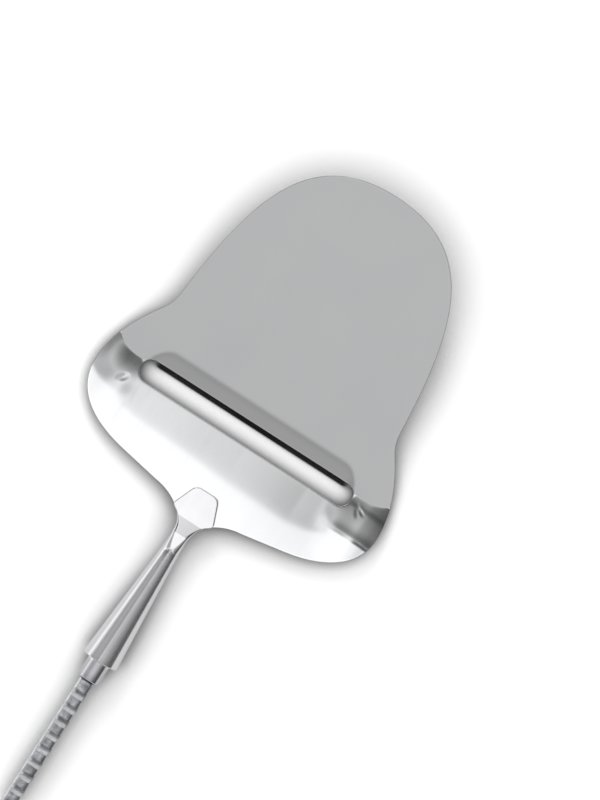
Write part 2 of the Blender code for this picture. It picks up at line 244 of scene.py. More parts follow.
class Finish:
    """A metal surface, named for its material and for how it was made."""

    name: str

    def material(self) -> bpy.types.Material:
        """Build the finish as a node material.

        Returns:
            The new material.
        """
        material = bpy.data.materials.new(self.name)
        material.use_nodes = True
        tree = material.node_tree
        tree.nodes.clear()
        place = add_node(tree, "ShaderNodeTexCoord").outputs["Object"]
        looks = {"Metallic": 1.0, **self.looks(tree, place)}
        shader = add_node(tree, "ShaderNodeBsdfPrincipled", looks)
        add_node(tree, "ShaderNodeOutputMaterial", {"Surface": shader.outputs["BSDF"]})
        return material

    def looks(self, tree: Tree, place: Socket) -> Inputs:
        """Give what feeds the shader's colour, roughness and relief."""
        raise NotImplementedError

    @staticmethod
    def layered(tree: Tree, colour: str, *layers: tuple[Socket, str]) -> Socket:
        """Lay shades over a colour.

        Args:
            tree: Tree of the material.
            colour: Colour underneath.
            layers: How far each shade covers what is under it, and the shade.

        Returns:
            The colour that shows.
        """
        tone = linear(colour)
        for share, shade in layers:
            covered = {0: share, 6: tone, 7: linear(shade)}
            tone = add_node(tree, "ShaderNodeMix", covered, data_type="RGBA").outputs[2]
        return tone


@dataclass(frozen=True)
class PolishedSheet(Finish):
    """Stainless steel sheet, stamped and then polished along its length.

    The eye sees a clear grey metal with faint lengthwise polishing lines and soft cloudy
    changes in gloss where hands and cloths went over it. Its outer rim is darkened as painted
    shade, and its ground cutting edge is painted near black as the reflection of the shade
    under the raised rear.
    """

    name: str = "stainless_sheet_stamped_and_polished"
    colour: str = "#D2D2D3"
    clouded: str = "#CBCCCD"
    # Near black: painted reflection on the ground cutting edge, and painted shade mixed into the
    # outer rim.
    ground: str = "#2B2B2D"
    gloss: float = 0.1
    cloudy: float = 0.15
    ground_gloss: float = 0.3
    cloud_size: float = 14.0
    line_width: float = 0.35
    line_length: float = 18.0
    smears: Span = (0.3, 0.7)
    relief: float = 0.0012

    def looks(self, tree: Tree, place: Socket) -> Inputs:
        """Give clouds, polishing lines and the ground edge.

        Args:
            tree: Tree of the material.
            place: Place on the piece.

        Returns:
            What feeds the shader, by input.
        """
        across, along = 1 / (self.line_width * MM), 1 / (self.line_length * MM)
        clouds = add_node(
            tree, "ShaderNodeTexNoise",
            {"Vector": place, "Scale": 1 / (self.cloud_size * MM), "Detail": 3.0},
        ).outputs["Fac"]
        stretched = add_node(
            tree, "ShaderNodeMapping", {"Vector": place, "Scale": (across, along, across)}
        ).outputs["Vector"]
        lines = add_node(
            tree, "ShaderNodeTexNoise",
            {"Vector": stretched, "Scale": 1.0, "Detail": 2.0, "Roughness": 0.6},
        ).outputs["Fac"]
        # The painted dark share: painted reflection on the ground edge, painted shade on the outer
        # rim.
        edge = add_node(
            tree, "ShaderNodeAttribute", attribute_name=BladeSheet.PAINTED_DARK
        ).outputs["Fac"]
        tone = self.layered(tree, self.colour, (clouds, self.clouded), (edge, self.ground))
        smear = add_node(tree, "ShaderNodeMix", {0: clouds, 2: 0.5, 3: lines}).outputs[0]
        low, high = self.smears
        haze = add_node(tree, "ShaderNodeMapRange", {
            "Value": smear, "From Min": low, "From Max": high,
            "To Min": self.gloss, "To Max": self.cloudy,
        }).outputs["Result"]
        rough = add_node(tree, "ShaderNodeMix", {0: edge, 2: haze, 3: self.ground_gloss})
        grain = add_node(
            tree, "ShaderNodeBump",
            {"Height": lines, "Strength": 0.5, "Distance": self.relief * MM},
        )
        return {"Base Color": tone, "Roughness": rough.outputs[0], "Normal": grain.outputs[0]}


@dataclass(frozen=True)
class PolishedForging(Finish):
    """Stainless steel forging, bright on its paddle and belt-polished along its cone.

    The eye sees clear reflections on the paddle, soft ones that are drawn out round the cone
    by the belt's fine lines along it, a little haze where the polish is thinner, and a darker
    collar that was turned and left so.
    """

    name: str = "stainless_forging_belt_polished"
    colour: str = "#C8C8C9"
    hazy: str = "#C0C0C2"
    turned: str = "#ACACB0"
    turned_gloss: float = 0.7
    gloss: float = 0.08
    haze: float = 0.13
    satin: float = 0.15
    drawn_out: float = 0.95
    satin_over: Span = (-11.0, -16.0)
    turned_over: Span = (-45.5, -46.0)
    haze_size: float = 5.0
    line_width: float = 0.3
    line_length: float = 20.0
    smears: Span = (0.2, 0.8)

    def looks(self, tree: Tree, place: Socket) -> Inputs:
        """Give haze, the belt's polish and the turned collar.

        Args:
            tree: Tree of the material.
            place: Place on the piece.

        Returns:
            What feeds the shader, by input.
        """
        across, length = 1 / (self.line_width * MM), 1 / (self.line_length * MM)
        clouds = add_node(
            tree, "ShaderNodeTexNoise",
            {"Vector": place, "Scale": 1 / (self.haze_size * MM), "Detail": 4.0},
        ).outputs["Fac"]
        along = add_node(tree, "ShaderNodeSeparateXYZ", {0: place}).outputs["Y"]
        collar, belt = (
            add_node(
                tree, "ShaderNodeMapRange",
                {"Value": along, "From Min": start * MM, "From Max": end * MM},
                interpolation_type=shape,
            ).outputs["Result"]
            for (start, end), shape in (
                (self.turned_over, "LINEAR"), (self.satin_over, "SMOOTHSTEP")
            )
        )
        tone = self.layered(tree, self.colour, (clouds, self.hazy), (collar, self.turned))
        stretched = add_node(
            tree, "ShaderNodeMapping", {"Vector": place, "Scale": (across, length, across)}
        ).outputs["Vector"]
        lines = add_node(
            tree, "ShaderNodeTexNoise", {"Vector": stretched, "Scale": 1.0, "Detail": 2.0}
        ).outputs["Fac"]
        smear = add_node(tree, "ShaderNodeMix", {0: 0.5, 2: clouds, 3: lines}).outputs[0]
        low, high = self.smears
        polish = add_node(tree, "ShaderNodeMapRange", {
            "Value": smear, "From Min": low, "From Max": high,
            "To Min": self.gloss, "To Max": self.haze,
        }).outputs["Result"]
        belt = add_node(
            tree, "ShaderNodeMath", {0: collar, 1: -self.turned_gloss, 2: belt},
            operation="MULTIPLY_ADD",
        ).outputs[0]
        rough = add_node(
            tree, "ShaderNodeMath", {0: belt, 1: self.satin, 2: polish}, operation="MULTIPLY_ADD"
        ).outputs[0]
        drawn = add_node(
            tree, "ShaderNodeMath", {0: belt, 1: self.drawn_out}, operation="MULTIPLY"
        ).outputs[0]
        # The belt runs along Y, and its lines draw reflections out across themselves.
        lengthwise = add_node(tree, "ShaderNodeCombineXYZ", {"Y": 1.0}).outputs[0]
        return {
            "Base Color": tone, "Roughness": rough, "Anisotropic": drawn, "Tangent": lengthwise,
        }


@dataclass(frozen=True)
class ForgedScale(Finish):
    """Carbon steel as it left the forge, tumbled but not polished.

    The eye sees a dull mid grey, mottled by thin dark scale, lighter on the crests of the
    ribs from wear, with a rough pitted skin. A painted highlight runs along the bar's left
    corner, and painted shade lies on the ribs' blade-side walls and along the bar's right side.
    """

    name: str = "carbon_steel_as_forged"
    colour: str = "#B0B2B5"
    scale: str = "#848689"
    # Lighter: wear on the ribs' crests, and a painted highlight along the bar's left corner.
    rubbed_and_highlit: str = "#C3C5C7"
    # Painted shade on the ribs' blade-side walls and along the bar's right side.
    painted_shade: str = "#55575A"
    gloss: float = 0.24
    dull: float = 0.4
    patch_size: float = 1.6
    pit_size: float = 0.35
    relief: float = 0.035
    spreads: Span = (0.35, 0.65)

    def looks(self, tree: Tree, place: Socket) -> Inputs:
        """Give patches of scale and a pitted skin.

        Args:
            tree: Tree of the material.
            place: Place on the piece.

        Returns:
            What feeds the shader, by input.
        """
        patches = add_node(
            tree, "ShaderNodeTexNoise",
            {"Vector": place, "Scale": 1 / (self.patch_size * MM), "Detail": 5.0, "Roughness": 0.6},
        ).outputs["Fac"]
        low, high = self.spreads
        spread = add_node(
            tree, "ShaderNodeMapRange", {"Value": patches, "From Min": low, "From Max": high}
        ).outputs["Result"]
        rubbed_and_highlit, painted_shade = (
            add_node(tree, "ShaderNodeAttribute", attribute_name=name).outputs["Fac"]
            for name in (TangBar.RUBBED_AND_HIGHLIT, TangBar.PAINTED_SHADE)
        )
        # Layers: random scale, crest wear with a painted highlight on the left corner, and painted
        # shade.
        layers = (spread, self.scale), (rubbed_and_highlit, self.rubbed_and_highlit), (painted_shade, self.painted_shade)
        tone = self.layered(tree, self.colour, *layers)
        rough = add_node(
            tree, "ShaderNodeMapRange",
            {"Value": spread, "To Min": self.gloss, "To Max": self.dull},
        )
        pits = add_node(
            tree, "ShaderNodeTexNoise",
            {"Vector": place, "Scale": 1 / (self.pit_size * MM), "Detail": 3.0},
        ).outputs["Fac"]
        relief = add_node(
            tree, "ShaderNodeBump",
            {"Height": pits, "Strength": 0.6, "Distance": self.relief * MM},
        )
        return {"Base Color": tone, "Roughness": rough.outputs[0], "Normal": relief.outputs[0]}


@dataclass(frozen=True)
class WeldMetal(Finish):
    """Stainless steel fused by a resistance weld.

    The eye sees a frozen grey melt with a straw tint from the heat, uneven at a fine scale.
    """

    name: str = "stainless_weld_fused"
    colour: str = "#A8A6A3"
    tint: str = "#9A8465"
    gloss: float = 0.3
    dull: float = 0.5
    ripple: float = 0.5

    def looks(self, tree: Tree, place: Socket) -> Inputs:
        """Give heat tint and ripples.

        Args:
            tree: Tree of the material.
            place: Place on the piece.

        Returns:
            What feeds the shader, by input.
        """
        melt = add_node(
            tree, "ShaderNodeTexNoise",
            {"Vector": place, "Scale": 1 / (self.ripple * MM), "Detail": 3.0},
        ).outputs["Fac"]
        tone = self.layered(tree, self.colour, (melt, self.tint))
        rough = add_node(
            tree, "ShaderNodeMapRange",
            {"Value": melt, "To Min": self.gloss, "To Max": self.dull},
        )
        return {"Base Color": tone, "Roughness": rough.outputs[0]}


@dataclass(frozen=True)
class Knot:
    """A point of an outline, with the handles of its curves where they aren't straight."""

    point: Array
    behind: Array | None = None
    ahead: Array | None = None


@dataclass(frozen=True)
class EdgeLoop:
    """A closed edge of the sheet, with the way out of the metal at each of its points."""

    points: Array
    outward: Array

    @classmethod
    def around(cls, points: Array, spacing: float, hole: bool) -> "EdgeLoop":
        """Space the points of an anticlockwise loop evenly and find the way out of the metal.

        Args:
            points: Points of the loop.
            spacing: Distance between its new points.
            hole: Whether the metal lies outside the loop.

        Returns:
            The loop.
        """
        closed = np.vstack((points, points[:1]))
        gaps = np.linalg.norm(np.diff(closed, axis=0), axis=1)
        length = np.concatenate(([0.0], np.cumsum(gaps)))
        count = int(round(length[-1] / spacing))
        stations = np.arange(count) * length[-1] / count
        even = np.column_stack([np.interp(stations, length, side) for side in closed.T])
        return cls.from_points(even, hole)

    @classmethod
    def from_points(cls, points: Array, hole: bool) -> "EdgeLoop":
        """Find the way out of the metal for the points of an anticlockwise loop."""
        along = np.roll(points, -1, axis=0) - np.roll(points, 1, axis=0)
        along /= np.linalg.norm(along, axis=1, keepdims=True)
        outward = np.column_stack((along[:, 1], -along[:, 0]))
        return cls(points, -outward if hole else outward)

    def holds(self, points: Array) -> Array:
        """Tell which points lie inside the loop.

        Args:
            points: Points to test.

        Returns:
            True for each point inside.
        """
        x, y = points[:, 0:1], points[:, 1:2]
        start, end = self.points, np.roll(self.points, -1, axis=0)
        passes = (start[:, 1] > y) != (end[:, 1] > y)
        rise = np.where(end[:, 1] == start[:, 1], 1.0, end[:, 1] - start[:, 1])
        meets = start[:, 0] + (end[:, 0] - start[:, 0]) * (y - start[:, 1]) / rise
        return (passes & (x < meets)).sum(axis=1) % 2 == 1

    def distance(self, points: Array) -> Array:
        """Give each point's distance to the nearest point of the loop."""
        return np.linalg.norm(points[:, None, :] - self.points[None, :, :], axis=2).min(axis=1)


@dataclass(frozen=True)
class Dimple:
    """A small dent where the press held the sheet down beside the slot."""

    x: float
    y: float
    half_length: float
    half_width: float
    turn: float
    depth: float

    def sink(self, x: Array, y: Array) -> Array:
        """Give how deep the dent is at points of the sheet.

        Args:
            x: Sideways places.
            y: Lengthwise places.

        Returns:
            Depth at each place.
        """
        along, across = direction(self.turn), direction(self.turn + 90)
        u = ((x - self.x) * along[0] + (y - self.y) * along[1]) / self.half_length
        v = ((x - self.x) * across[0] + (y - self.y) * across[1]) / self.half_width
        return self.depth * (1 - step_up(np.hypot(u, v), 0.0, 1.0))


@dataclass
class BladeSheet:
    """The stamped sheet: spade, ears, slot, cutting lip and raised rear.

    Its frame has the spade's upper face at height 0, the tail at the origin and the tip
    towards +Y.
    """

    # Attribute with the share of painted dark: painted reflection on the ground cutting edge,
    # painted shade on the outer rim.
    PAINTED_DARK = "painted_dark_edge"
    # Rings of an edge's profile that the grinding of the cutting lip took in.
    GROUND_RINGS = slice(2, 10)

    thickness: float = 1.0
    length: float = 93.8
    tail_half: float = 4.5
    tail_flare: float = 37.0
    tail_round: float = 5.0
    shoulder_half: float = 13.0
    shoulder_station: float = 3.3
    shoulder_sweep: float = 10.0
    shoulder_round: float = 1.2
    flank_inset: float = 17.7
    ear_half: float = 41.4
    ear_station: float = 20.3
    ear_rear_round: float = 9.4
    ear_front_round: float = 8.0
    notch_half: float = 32.4
    notch_station: float = 42.0
    notch_slant: float = 36.0
    spade_taper: float = 4.5
    spade_side_round: float = 30.5
    spade_tip_round: float = 25.5
    slot_half: float = 31.0
    slot_rear: float = 21.5
    slot_front: float = 27.4
    lip_overhang: float = 1.7
    bevel_start: float = 0.28
    bevel_end: float = 1.9
    lip_half: float = 28.6
    lip_taper: float = 1.8
    lip_reach: float = 6.6
    lip_runout: float = 6.0
    lip_bend: float = 2.8
    lip_angle: float = 12.0
    bevel_drop: float = 0.5
    fold_steep: float = 25.0
    rear_slope: float = 12.0
    fold_length: float = 12.4
    crease_start: float = 30.72
    crease_sweep: float = 5.5
    crease_power: float = 3.5
    crease_ease: float = 0.03
    right_sweep: float = 3.3
    # Length of the fold behind the slot, by sideways place.
    fold_lengths: Table = (
        (-41.4, 11.0), (-33.0, 11.5), (-29.0, 12.4), (-25.0, 12.9), (-8.0, 13.6), (2.0, 14.4),
        (20.0, 14.8), (25.0, 13.8), (29.0, 12.4), (41.4, 11.0),
    )
    # Slope of the left ear in degrees, by distance from its crease.
    left_ear: Table = (
        (0.0, 24.4), (1.0, 24.1), (2.0, 23.6), (3.0, 22.9), (4.0, 22.2), (5.0, 21.4),
        (6.0, 20.4), (7.0, 19.0), (8.0, 16.5), (9.0, 13.5), (10.0, 12.1), (12.0, 12.0),
    )
    # Slope of the right ear in degrees, by distance behind the cutting edge.
    right_ear: Table = (
        (-4.0, 21.5), (0.0, 22.4), (1.0, 22.6), (1.9, 24.6), (2.6, 22.3), (4.0, 21.9),
        (5.5, 21.7), (6.3, 21.8), (7.2, 22.4), (8.1, 23.4), (8.7, 22.3), (9.05, 20.5),
        (9.45, 11.2), (16.0, 11.2), (20.0, 12.0),
    )
    left_from: Span = (28.0, 33.0)
    right_from: Span = (26.0, 32.0)
    # Extra climb under the right of the slot, which lets the ear run into the rear.
    right_lift: float = 0.11
    lift_from: Span = (-10.0, 22.0)
    lift_until: Span = (3.4, 4.6)
    rim: float = 0.12
    slot_rim: float = 0.08
    # Share of painted dark mixed into the outer rim: a painted shade along the outline.
    rim_shade: float = 0.6
    rim_inset: float = 0.5
    rim_steps: int = 10
    notch_ease: float = 3.5
    notch_rounds: int = 30
    tail_ease: float = 1.5
    tail_rounds: int = 6
    # Where the creases begin to be rounded, from the end of the slot.
    ease_over: Span = (-2.5, 1.0)
    tongue_power: float = 0.8
    # Fineness of the mesh and of the tables that it is read from.
    spacing: float = 0.5
    slot_spacing: float = 0.4
    curve_steps: int = 80
    end_steps: int = 25
    grid_step: float = 0.125
    grid_margin: float = 1.0
    probe: float = 0.12
    line_past: float = 2.0
    line_inside: float = 8.0
    line_steps: int = 160
    crease_inset: float = 0.5
    crease_step: float = 0.3
    crease_clear: float = 0.2
    inner_clear: float = 0.3
    inner_gap: float = 0.22
    ear_inner: float = 26.0
    follow_from: Span = (12.0, 22.0)
    follow_until: Span = (30.0, 45.0)
    dent_step: float = 0.22
    dent_clear: float = 0.2
    tolerance: float = 1e-6
    sharp: float = 12.0
    dimples: tuple[Dimple, ...] = (
        Dimple(-33.2, 19.7, 2.2, 1.3, 44.0, 0.065),
        Dimple(33.6, 22.9, 2.2, 0.9, 118.0, 0.04),
        Dimple(34.6, 23.2, 1.7, 0.7, -27.0, 0.035),
    )

    @property
    def lip_station(self) -> float:
        """Station of the cutting edge."""
        return self.slot_front - self.lip_overhang

    @property
    def slot_middle(self) -> float:
        """Station of the slot's middle line."""
        return (self.slot_front + self.slot_rear) / 2

    def half_outline(self) -> list[Knot]:
        """Give the right half of the outline.

        Returns:
            Knots from the middle of the tail to the tip.
        """
        ahead = np.array((0.0, 1.0))
        tail = np.array((self.tail_half, 0.0))
        shoulder = np.array((self.shoulder_half, self.shoulder_station))
        run = self.ear_half - self.flank_inset - self.shoulder_half
        flank = shoulder + np.array((run, run * slope(self.shoulder_sweep)))
        ear = np.array((self.ear_half, self.ear_station))
        notch = np.array((self.notch_half, self.notch_station))
        tip = np.array((0.0, self.length))
        sweep = direction(self.shoulder_sweep)
        return [
            Knot(np.zeros(2)),
            Knot(tail, ahead=tail + direction(self.tail_flare) * self.tail_round),
            Knot(shoulder, behind=shoulder - sweep * self.shoulder_round),
            Knot(flank, ahead=flank + sweep * self.ear_rear_round),
            Knot(ear, ear - ahead * self.ear_rear_round, ear + ahead * self.ear_front_round),
            Knot(
                notch,
                notch - direction(90 + self.notch_slant) * self.ear_front_round,
                notch + direction(90 + self.spade_taper) * self.spade_side_round,
            ),
            Knot(tip, behind=tip + np.array((self.spade_tip_round, 0.0))),
        ]

    def outer_loop(self) -> EdgeLoop:
        """Trace the outline, with its inner corners eased.

        Returns:
            The outer edge.
        """
        knots = self.half_outline()
        half = []
        share = np.linspace(0.0, 1.0, self.curve_steps, endpoint=False)[:, None]
        for start, end in zip(knots, knots[1:]):
            a, d = start.point, end.point
            b = a + (d - a) / 3 if start.ahead is None else start.ahead
            c = d + (a - d) / 3 if end.behind is None else end.behind
            rest = 1 - share
            curve = a * rest**3 + 3 * b * share * rest**2 + 3 * c * share**2 * rest + d * share**3
            half.append(curve)
        half.append(knots[-1].point[None, :])
        right = np.vstack(half)
        left = right[-2:0:-1] * np.array((-1.0, 1.0))
        loop = EdgeLoop.around(np.vstack((right, left)), self.spacing, hole=False)
        points = loop.points.copy()
        for corner, reach, rounds in (
            ((self.notch_half, self.notch_station), self.notch_ease, self.notch_rounds),
            ((self.tail_half, 0.0), self.tail_ease, self.tail_rounds),
        ):
            mirrored = np.column_stack((np.abs(points[:, 0]), points[:, 1]))
            away = np.linalg.norm(mirrored - np.array(corner), axis=1)
            near = np.exp(-((away / reach) ** 2))[:, None]
            for _ in range(rounds):
                middle = (np.roll(points, 1, axis=0) + np.roll(points, -1, axis=0)) / 2
                points += 0.5 * near * (middle - points)
        return EdgeLoop.from_points(points, hole=False)

    def slot_loop(self) -> EdgeLoop:
        """Trace the slot in the upper face, a bar with round ends.

        Returns:
            The edge of the slot.
        """
        radius = (self.slot_front - self.slot_rear) / 2
        middle = self.slot_middle
        straight = self.slot_half - radius
        turn = np.radians(np.linspace(-90.0, 90.0, self.end_steps))
        right = np.column_stack((straight + radius * np.cos(turn), middle + radius * np.sin(turn)))
        left = right * np.array((-1.0, 1.0))
        return EdgeLoop.around(np.vstack((right, left[::-1])), self.slot_spacing, hole=True)

    @staticmethod
    def bent(run: Array, bend: float, start: float, end: float) -> Array:
        """Give the rise of a strip that eases from one slope to another and then runs on.

        Args:
            run: Distance along the strip.
            bend: Length over which its slope changes.
            start: Slope at its start.
            end: Slope after the bend.

        Returns:
            Rise at each distance.
        """
        inside = np.minimum(run, bend)
        return inside * start + (end - start) * inside**2 / (2 * bend) + (run - inside) * end

    def crease_offset(self, x: Array) -> Array:
        """Give how far the crease has swept towards the tip at sideways places."""
        reach = self.ear_half - self.crease_start
        out = np.clip((np.abs(x) - self.crease_start) / reach, 0.0, None)
        return np.where(x > 0, self.right_sweep, self.crease_sweep) * out**self.crease_power

    def rear_slopes(self, x: Array, behind: Array) -> Array:
        """Give how steeply the sheet climbs towards its tail behind the creases.

        Args:
            x: Sideways places.
            behind: Distances behind the cutting edge.

        Returns:
            Rise per run at each place.
        """
        steep, flat = slope(self.fold_steep), slope(self.rear_slope)
        length = np.interp(x, *zip(*self.fold_lengths))
        start = np.minimum(steep, flat + (steep - flat) * self.fold_length / length)
        middle = start + (flat - start) * np.clip(behind / length, 0.0, 1.0)
        under = 1 - step_up(behind, *self.lift_until)
        middle = middle * (1 + self.right_lift * step_up(x, *self.lift_from) * under)
        right = np.tan(np.radians(np.interp(behind, *zip(*self.right_ear))))
        on_right = step_up(x, *self.right_from)
        return middle * (1 - on_right) + right * on_right

    @cached_property
    def rises(self) -> Array:
        """Add up the slopes behind the creases.

        Returns:
            Rise by sideways place from the left ear on, and by distance behind the crease.
        """
        edge = self.ear_half + self.grid_margin
        x = np.arange(-edge, edge, self.grid_step)[:, None]
        run = np.arange(0.0, self.length, self.grid_step)[None, :]
        climb = self.rear_slopes(x, run - self.crease_offset(x))
        steps = (climb[:, 1:] + climb[:, :-1]) / 2 * self.grid_step
        return np.hstack((np.zeros((len(x), 1)), np.cumsum(steps, axis=1)))

    def rear_height(self, x: Array, run: Array) -> Array:
        """Give the height behind the cutting edge and the right crease.

        Args:
            x: Sideways places.
            run: Distances behind the edge or the crease.

        Returns:
            Height at each place.
        """
        table = self.rises
        across = (x + self.ear_half + self.grid_margin) / self.grid_step
        along = run / self.grid_step
        column = np.clip(across.astype(int), 0, len(table) - 2)
        row = np.clip(along.astype(int), 0, len(table[0]) - 2)
        right, on = across - column, along - row
        near = table[column, row] * (1 - right) + table[column + 1, row] * right
        far = table[column, row + 1] * (1 - right) + table[column + 1, row + 1] * right
        return near * (1 - on) + far * on

    def left_height(self, x: Array, y: Array, ease: Array) -> Array:
        """Give the height of the left ear, which climbs squarely from its curved crease.

        Args:
            x: Sideways places.
            y: Lengthwise places.
            ease: How far the crease is rounded.

        Returns:
            Height at each place.
        """
        line = np.linspace(
            -self.ear_half - self.line_past, -self.slot_half + self.line_inside, self.line_steps
        )
        crease = np.column_stack((line, self.lip_station + self.crease_offset(line)))
        starts, spans = crease[:-1], np.diff(crease, axis=0)
        gap = np.column_stack((x, y))[:, None, :] - starts[None, :, :]
        share = np.clip((gap * spans).sum(axis=2) / (spans**2).sum(axis=1), 0.0, 1.0)
        away = np.linalg.norm(gap - share[:, :, None] * spans, axis=2).min(axis=1)
        away = np.where(self.lip_station + self.crease_offset(x) > y, away, -away)
        run = (away + np.sqrt(away**2 + ease**2)) / 2
        stations = np.arange(0.0, self.length, self.grid_step)
        climb = np.tan(np.radians(np.interp(stations, *zip(*self.left_ear))))
        steps = (climb[1:] + climb[:-1]) / 2 * self.grid_step
        return np.interp(run, stations, np.concatenate(([0.0], np.cumsum(steps))))

    def height(self, x: Array, y: Array) -> Array:
        """Give the height of the upper face.

        Args:
            x: Sideways places.
            y: Lengthwise places.

        Returns:
            Height at each place.
        """
        reach = np.abs(x)
        behind = self.lip_station + self.crease_offset(x) - y
        start, end = (self.slot_half + past for past in self.ease_over)
        ease = self.crease_ease * step_up(reach, start, end)
        rear = self.rear_height(x, (behind + np.sqrt(behind**2 + ease**2)) / 2)
        ear = step_up(-x, *self.left_from)
        left = ear > 0
        if left.any():
            on_left = self.left_height(x[left], y[left], ease[left])
            rear[left] += ear[left] * (on_left - rear[left])
        past = reach - self.crease_start + self.lip_runout
        share = np.clip(past / self.lip_runout, 0.0, 1.0)
        tongue = self.lip_reach * (1 - share**2) ** self.tongue_power
        bent_off = np.clip(self.lip_station + tongue - y, 0.0, None) * (y > self.slot_middle)
        run = np.minimum(bent_off, tongue)
        drop = self.bent(run, self.lip_bend, 0.0, slope(self.lip_angle))
        dents = sum(dimple.sink(x, y) for dimple in self.dimples)
        return rear - drop - dents

    def upper_face(self, flat: Array) -> tuple[Array, Array]:
        """Lift points of the flat sheet onto the upper face.

        Args:
            flat: Places in the sheet's plane.

        Returns:
            Points of the upper face, and its normal at each.
        """
        x, y = flat[:, 0], flat[:, 1]
        step = self.probe
        rise_x = (self.height(x + step, y) - self.height(x - step, y)) / (2 * step)
        rise_y = (self.height(x, y + step) - self.height(x, y - step)) / (2 * step)
        normal = np.column_stack((-rise_x, -rise_y, np.ones(len(flat))))
        normal /= np.linalg.norm(normal, axis=1, keepdims=True)
        return np.column_stack((x, y, self.height(x, y))), normal

    def crease_lines(self, loops: Sequence[EdgeLoop]) -> list[Array]:
        """Trace the two creases where the ears fold up from the spade.

        Args:
            loops: The outer edge and the slot's edge.

        Returns:
            Places along each crease, from the slot outwards, clear of the edges.
        """
        lines = []
        for side in (1.0, -1.0):
            inner = self.slot_half - self.crease_inset
            x = side * np.arange(inner, self.ear_half, self.crease_step)
            line = np.column_stack((x, self.lip_station + self.crease_offset(x)))
            away = np.minimum(loops[0].distance(line), loops[1].distance(line))
            clear = away > self.rim_inset + self.crease_clear
            lines.append(line[clear & loops[0].holds(line) & ~loops[1].holds(line)])
        return lines

    def inner_points(self, loops: Sequence[EdgeLoop], creases: Sequence[Array]) -> Array:
        """Scatter the corners of the sheet's faces, close together where it bends.

        Args:
            loops: The outer edge and the slot's edge.
            creases: Places along the creases.

        Returns:
            Places in the sheet's plane, clear of the edges and of the creases.
        """
        rows: list[Array] = []
        ear, half = self.ear_inner, self.ear_half
        # Start, end and step of each band of rows, and the sideways reach that it covers.
        bands = (
            (0.8, 8.0, 1.2, 0.0, half), (8.0, 23.6, 0.7, 0.0, ear), (8.0, 23.6, 0.4, ear, half),
            (23.6, 27.6, 0.3, 0.0, half), (27.6, 34.6, 0.5, 0.0, half),
            (34.6, self.length, 2.4, 0.0, half),
        )
        for start, end, step, inner, outer in bands:
            width = max(step, self.spacing)
            for number, station in enumerate(np.arange(start, end, step)):
                x = np.arange(-half, half, width) + (width / 2 if number % 2 else 0.0)
                x = x[(np.abs(x) >= inner) & (np.abs(x) < outer)]
                follow = self.crease_offset(x) * step_up(station, *self.follow_from)
                follow = follow * (1 - step_up(station, *self.follow_until))
                rows.append(np.column_stack((x, station + follow)))
        points = np.vstack(rows)
        for dimple in self.dimples:
            reach = dimple.half_length
            away = np.hypot(points[:, 0] - dimple.x, points[:, 1] - dimple.y)
            points = points[away > reach + self.dent_clear]
            spots = np.arange(-reach, reach + self.dent_step / 2, self.dent_step)
            grid = np.array([(dimple.x + u, dimple.y + v) for u in spots for v in spots])
            inside = np.hypot(grid[:, 0] - dimple.x, grid[:, 1] - dimple.y) < reach
            points = np.vstack((points, grid[inside]))
        outer, slot = loops
        points = points[outer.holds(points) & ~slot.holds(points)]
        clear = np.minimum(outer.distance(points), slot.distance(points))
        points = points[clear > self.rim_inset + self.inner_clear]
        gaps = points[:, None, :] - np.vstack(creases)[None, :, :]
        return points[np.linalg.norm(gaps, axis=2).min(axis=1) > self.inner_gap]

    def rim_profile(self, radius: float) -> Array:
        """Give a rounded edge of the sheet.

        Args:
            radius: Radius of its upper and lower corner.

        Returns:
            Distances out from the outline and below the upper face, from top to bottom.
        """
        quarter = np.radians(np.linspace(0.0, 90.0, self.rim_steps))
        out = radius * (np.sin(quarter) - 1)
        down = radius * (1 - np.cos(quarter))
        upper = np.column_stack((out, down))
        lower = np.column_stack((out[::-1], self.thickness - down[::-1]))
        ends = np.array(((-self.rim_inset, 0.0), (-self.rim_inset, self.thickness)))
        return np.vstack((ends[:1], upper, lower, ends[1:]))

    def lip_profile(self) -> Array:
        """Give the ground cutting edge.

        Returns:
            Distances out from the slot's front and below the upper face, from top to bottom.
        """
        start, out, full, deep = self.bevel_start, self.bevel_end, self.thickness, self.bevel_drop
        share = np.linspace(0.0, 1.0, self.rim_steps - 3)[1:-1, None]
        bevel = share * np.array((out - start, deep)) + np.array((start, 0.0))
        under = np.linspace(out - 0.04, 0.0, self.rim_steps - 1)
        # The small offsets round the corners of the ground edge.
        return np.vstack((
            ((-self.rim_inset, 0.0), (-0.1, 0.0), (start - 0.03, 0.0), (start + 0.02, 0.01)),
            bevel,
            ((out - 0.03, deep - 0.01), (out, deep + 0.03), (out, full - 0.04)),
            np.column_stack((under, np.full(len(under), full))),
            ((-self.rim_inset, full),),
        ))

    def rim_rings(self, loop: EdgeLoop, lip: Array, radius: float) -> Array:
        """Wrap an edge's profile round one loop.

        Args:
            loop: The edge.
            lip: How far each of its points belongs to the cutting lip, from 0 to 1.
            radius: Radius of the rounded edge elsewhere.

        Returns:
            Points by ring from top to bottom and then along the loop.
        """
        share = lip[None, :, None]
        plain, ground = self.rim_profile(radius)[:, None, :], self.lip_profile()[:, None, :]
        profile = plain * (1 - share) + ground * share
        _, edge_normal = self.upper_face(loop.points)
        ahead = np.column_stack((loop.outward, np.zeros(len(lip))))
        ahead = ahead - edge_normal * (ahead * edge_normal).sum(axis=1, keepdims=True)
        ahead /= np.linalg.norm(ahead, axis=1, keepdims=True)
        rings = []
        for ring in profile:
            out, down = ring[:, 0:1], ring[:, 1:2]
            base, normal = self.upper_face(loop.points + loop.outward * np.minimum(out, 0.0))
            rings.append(base + ahead * np.maximum(out, 0.0) - normal * down)
        return np.array(rings)

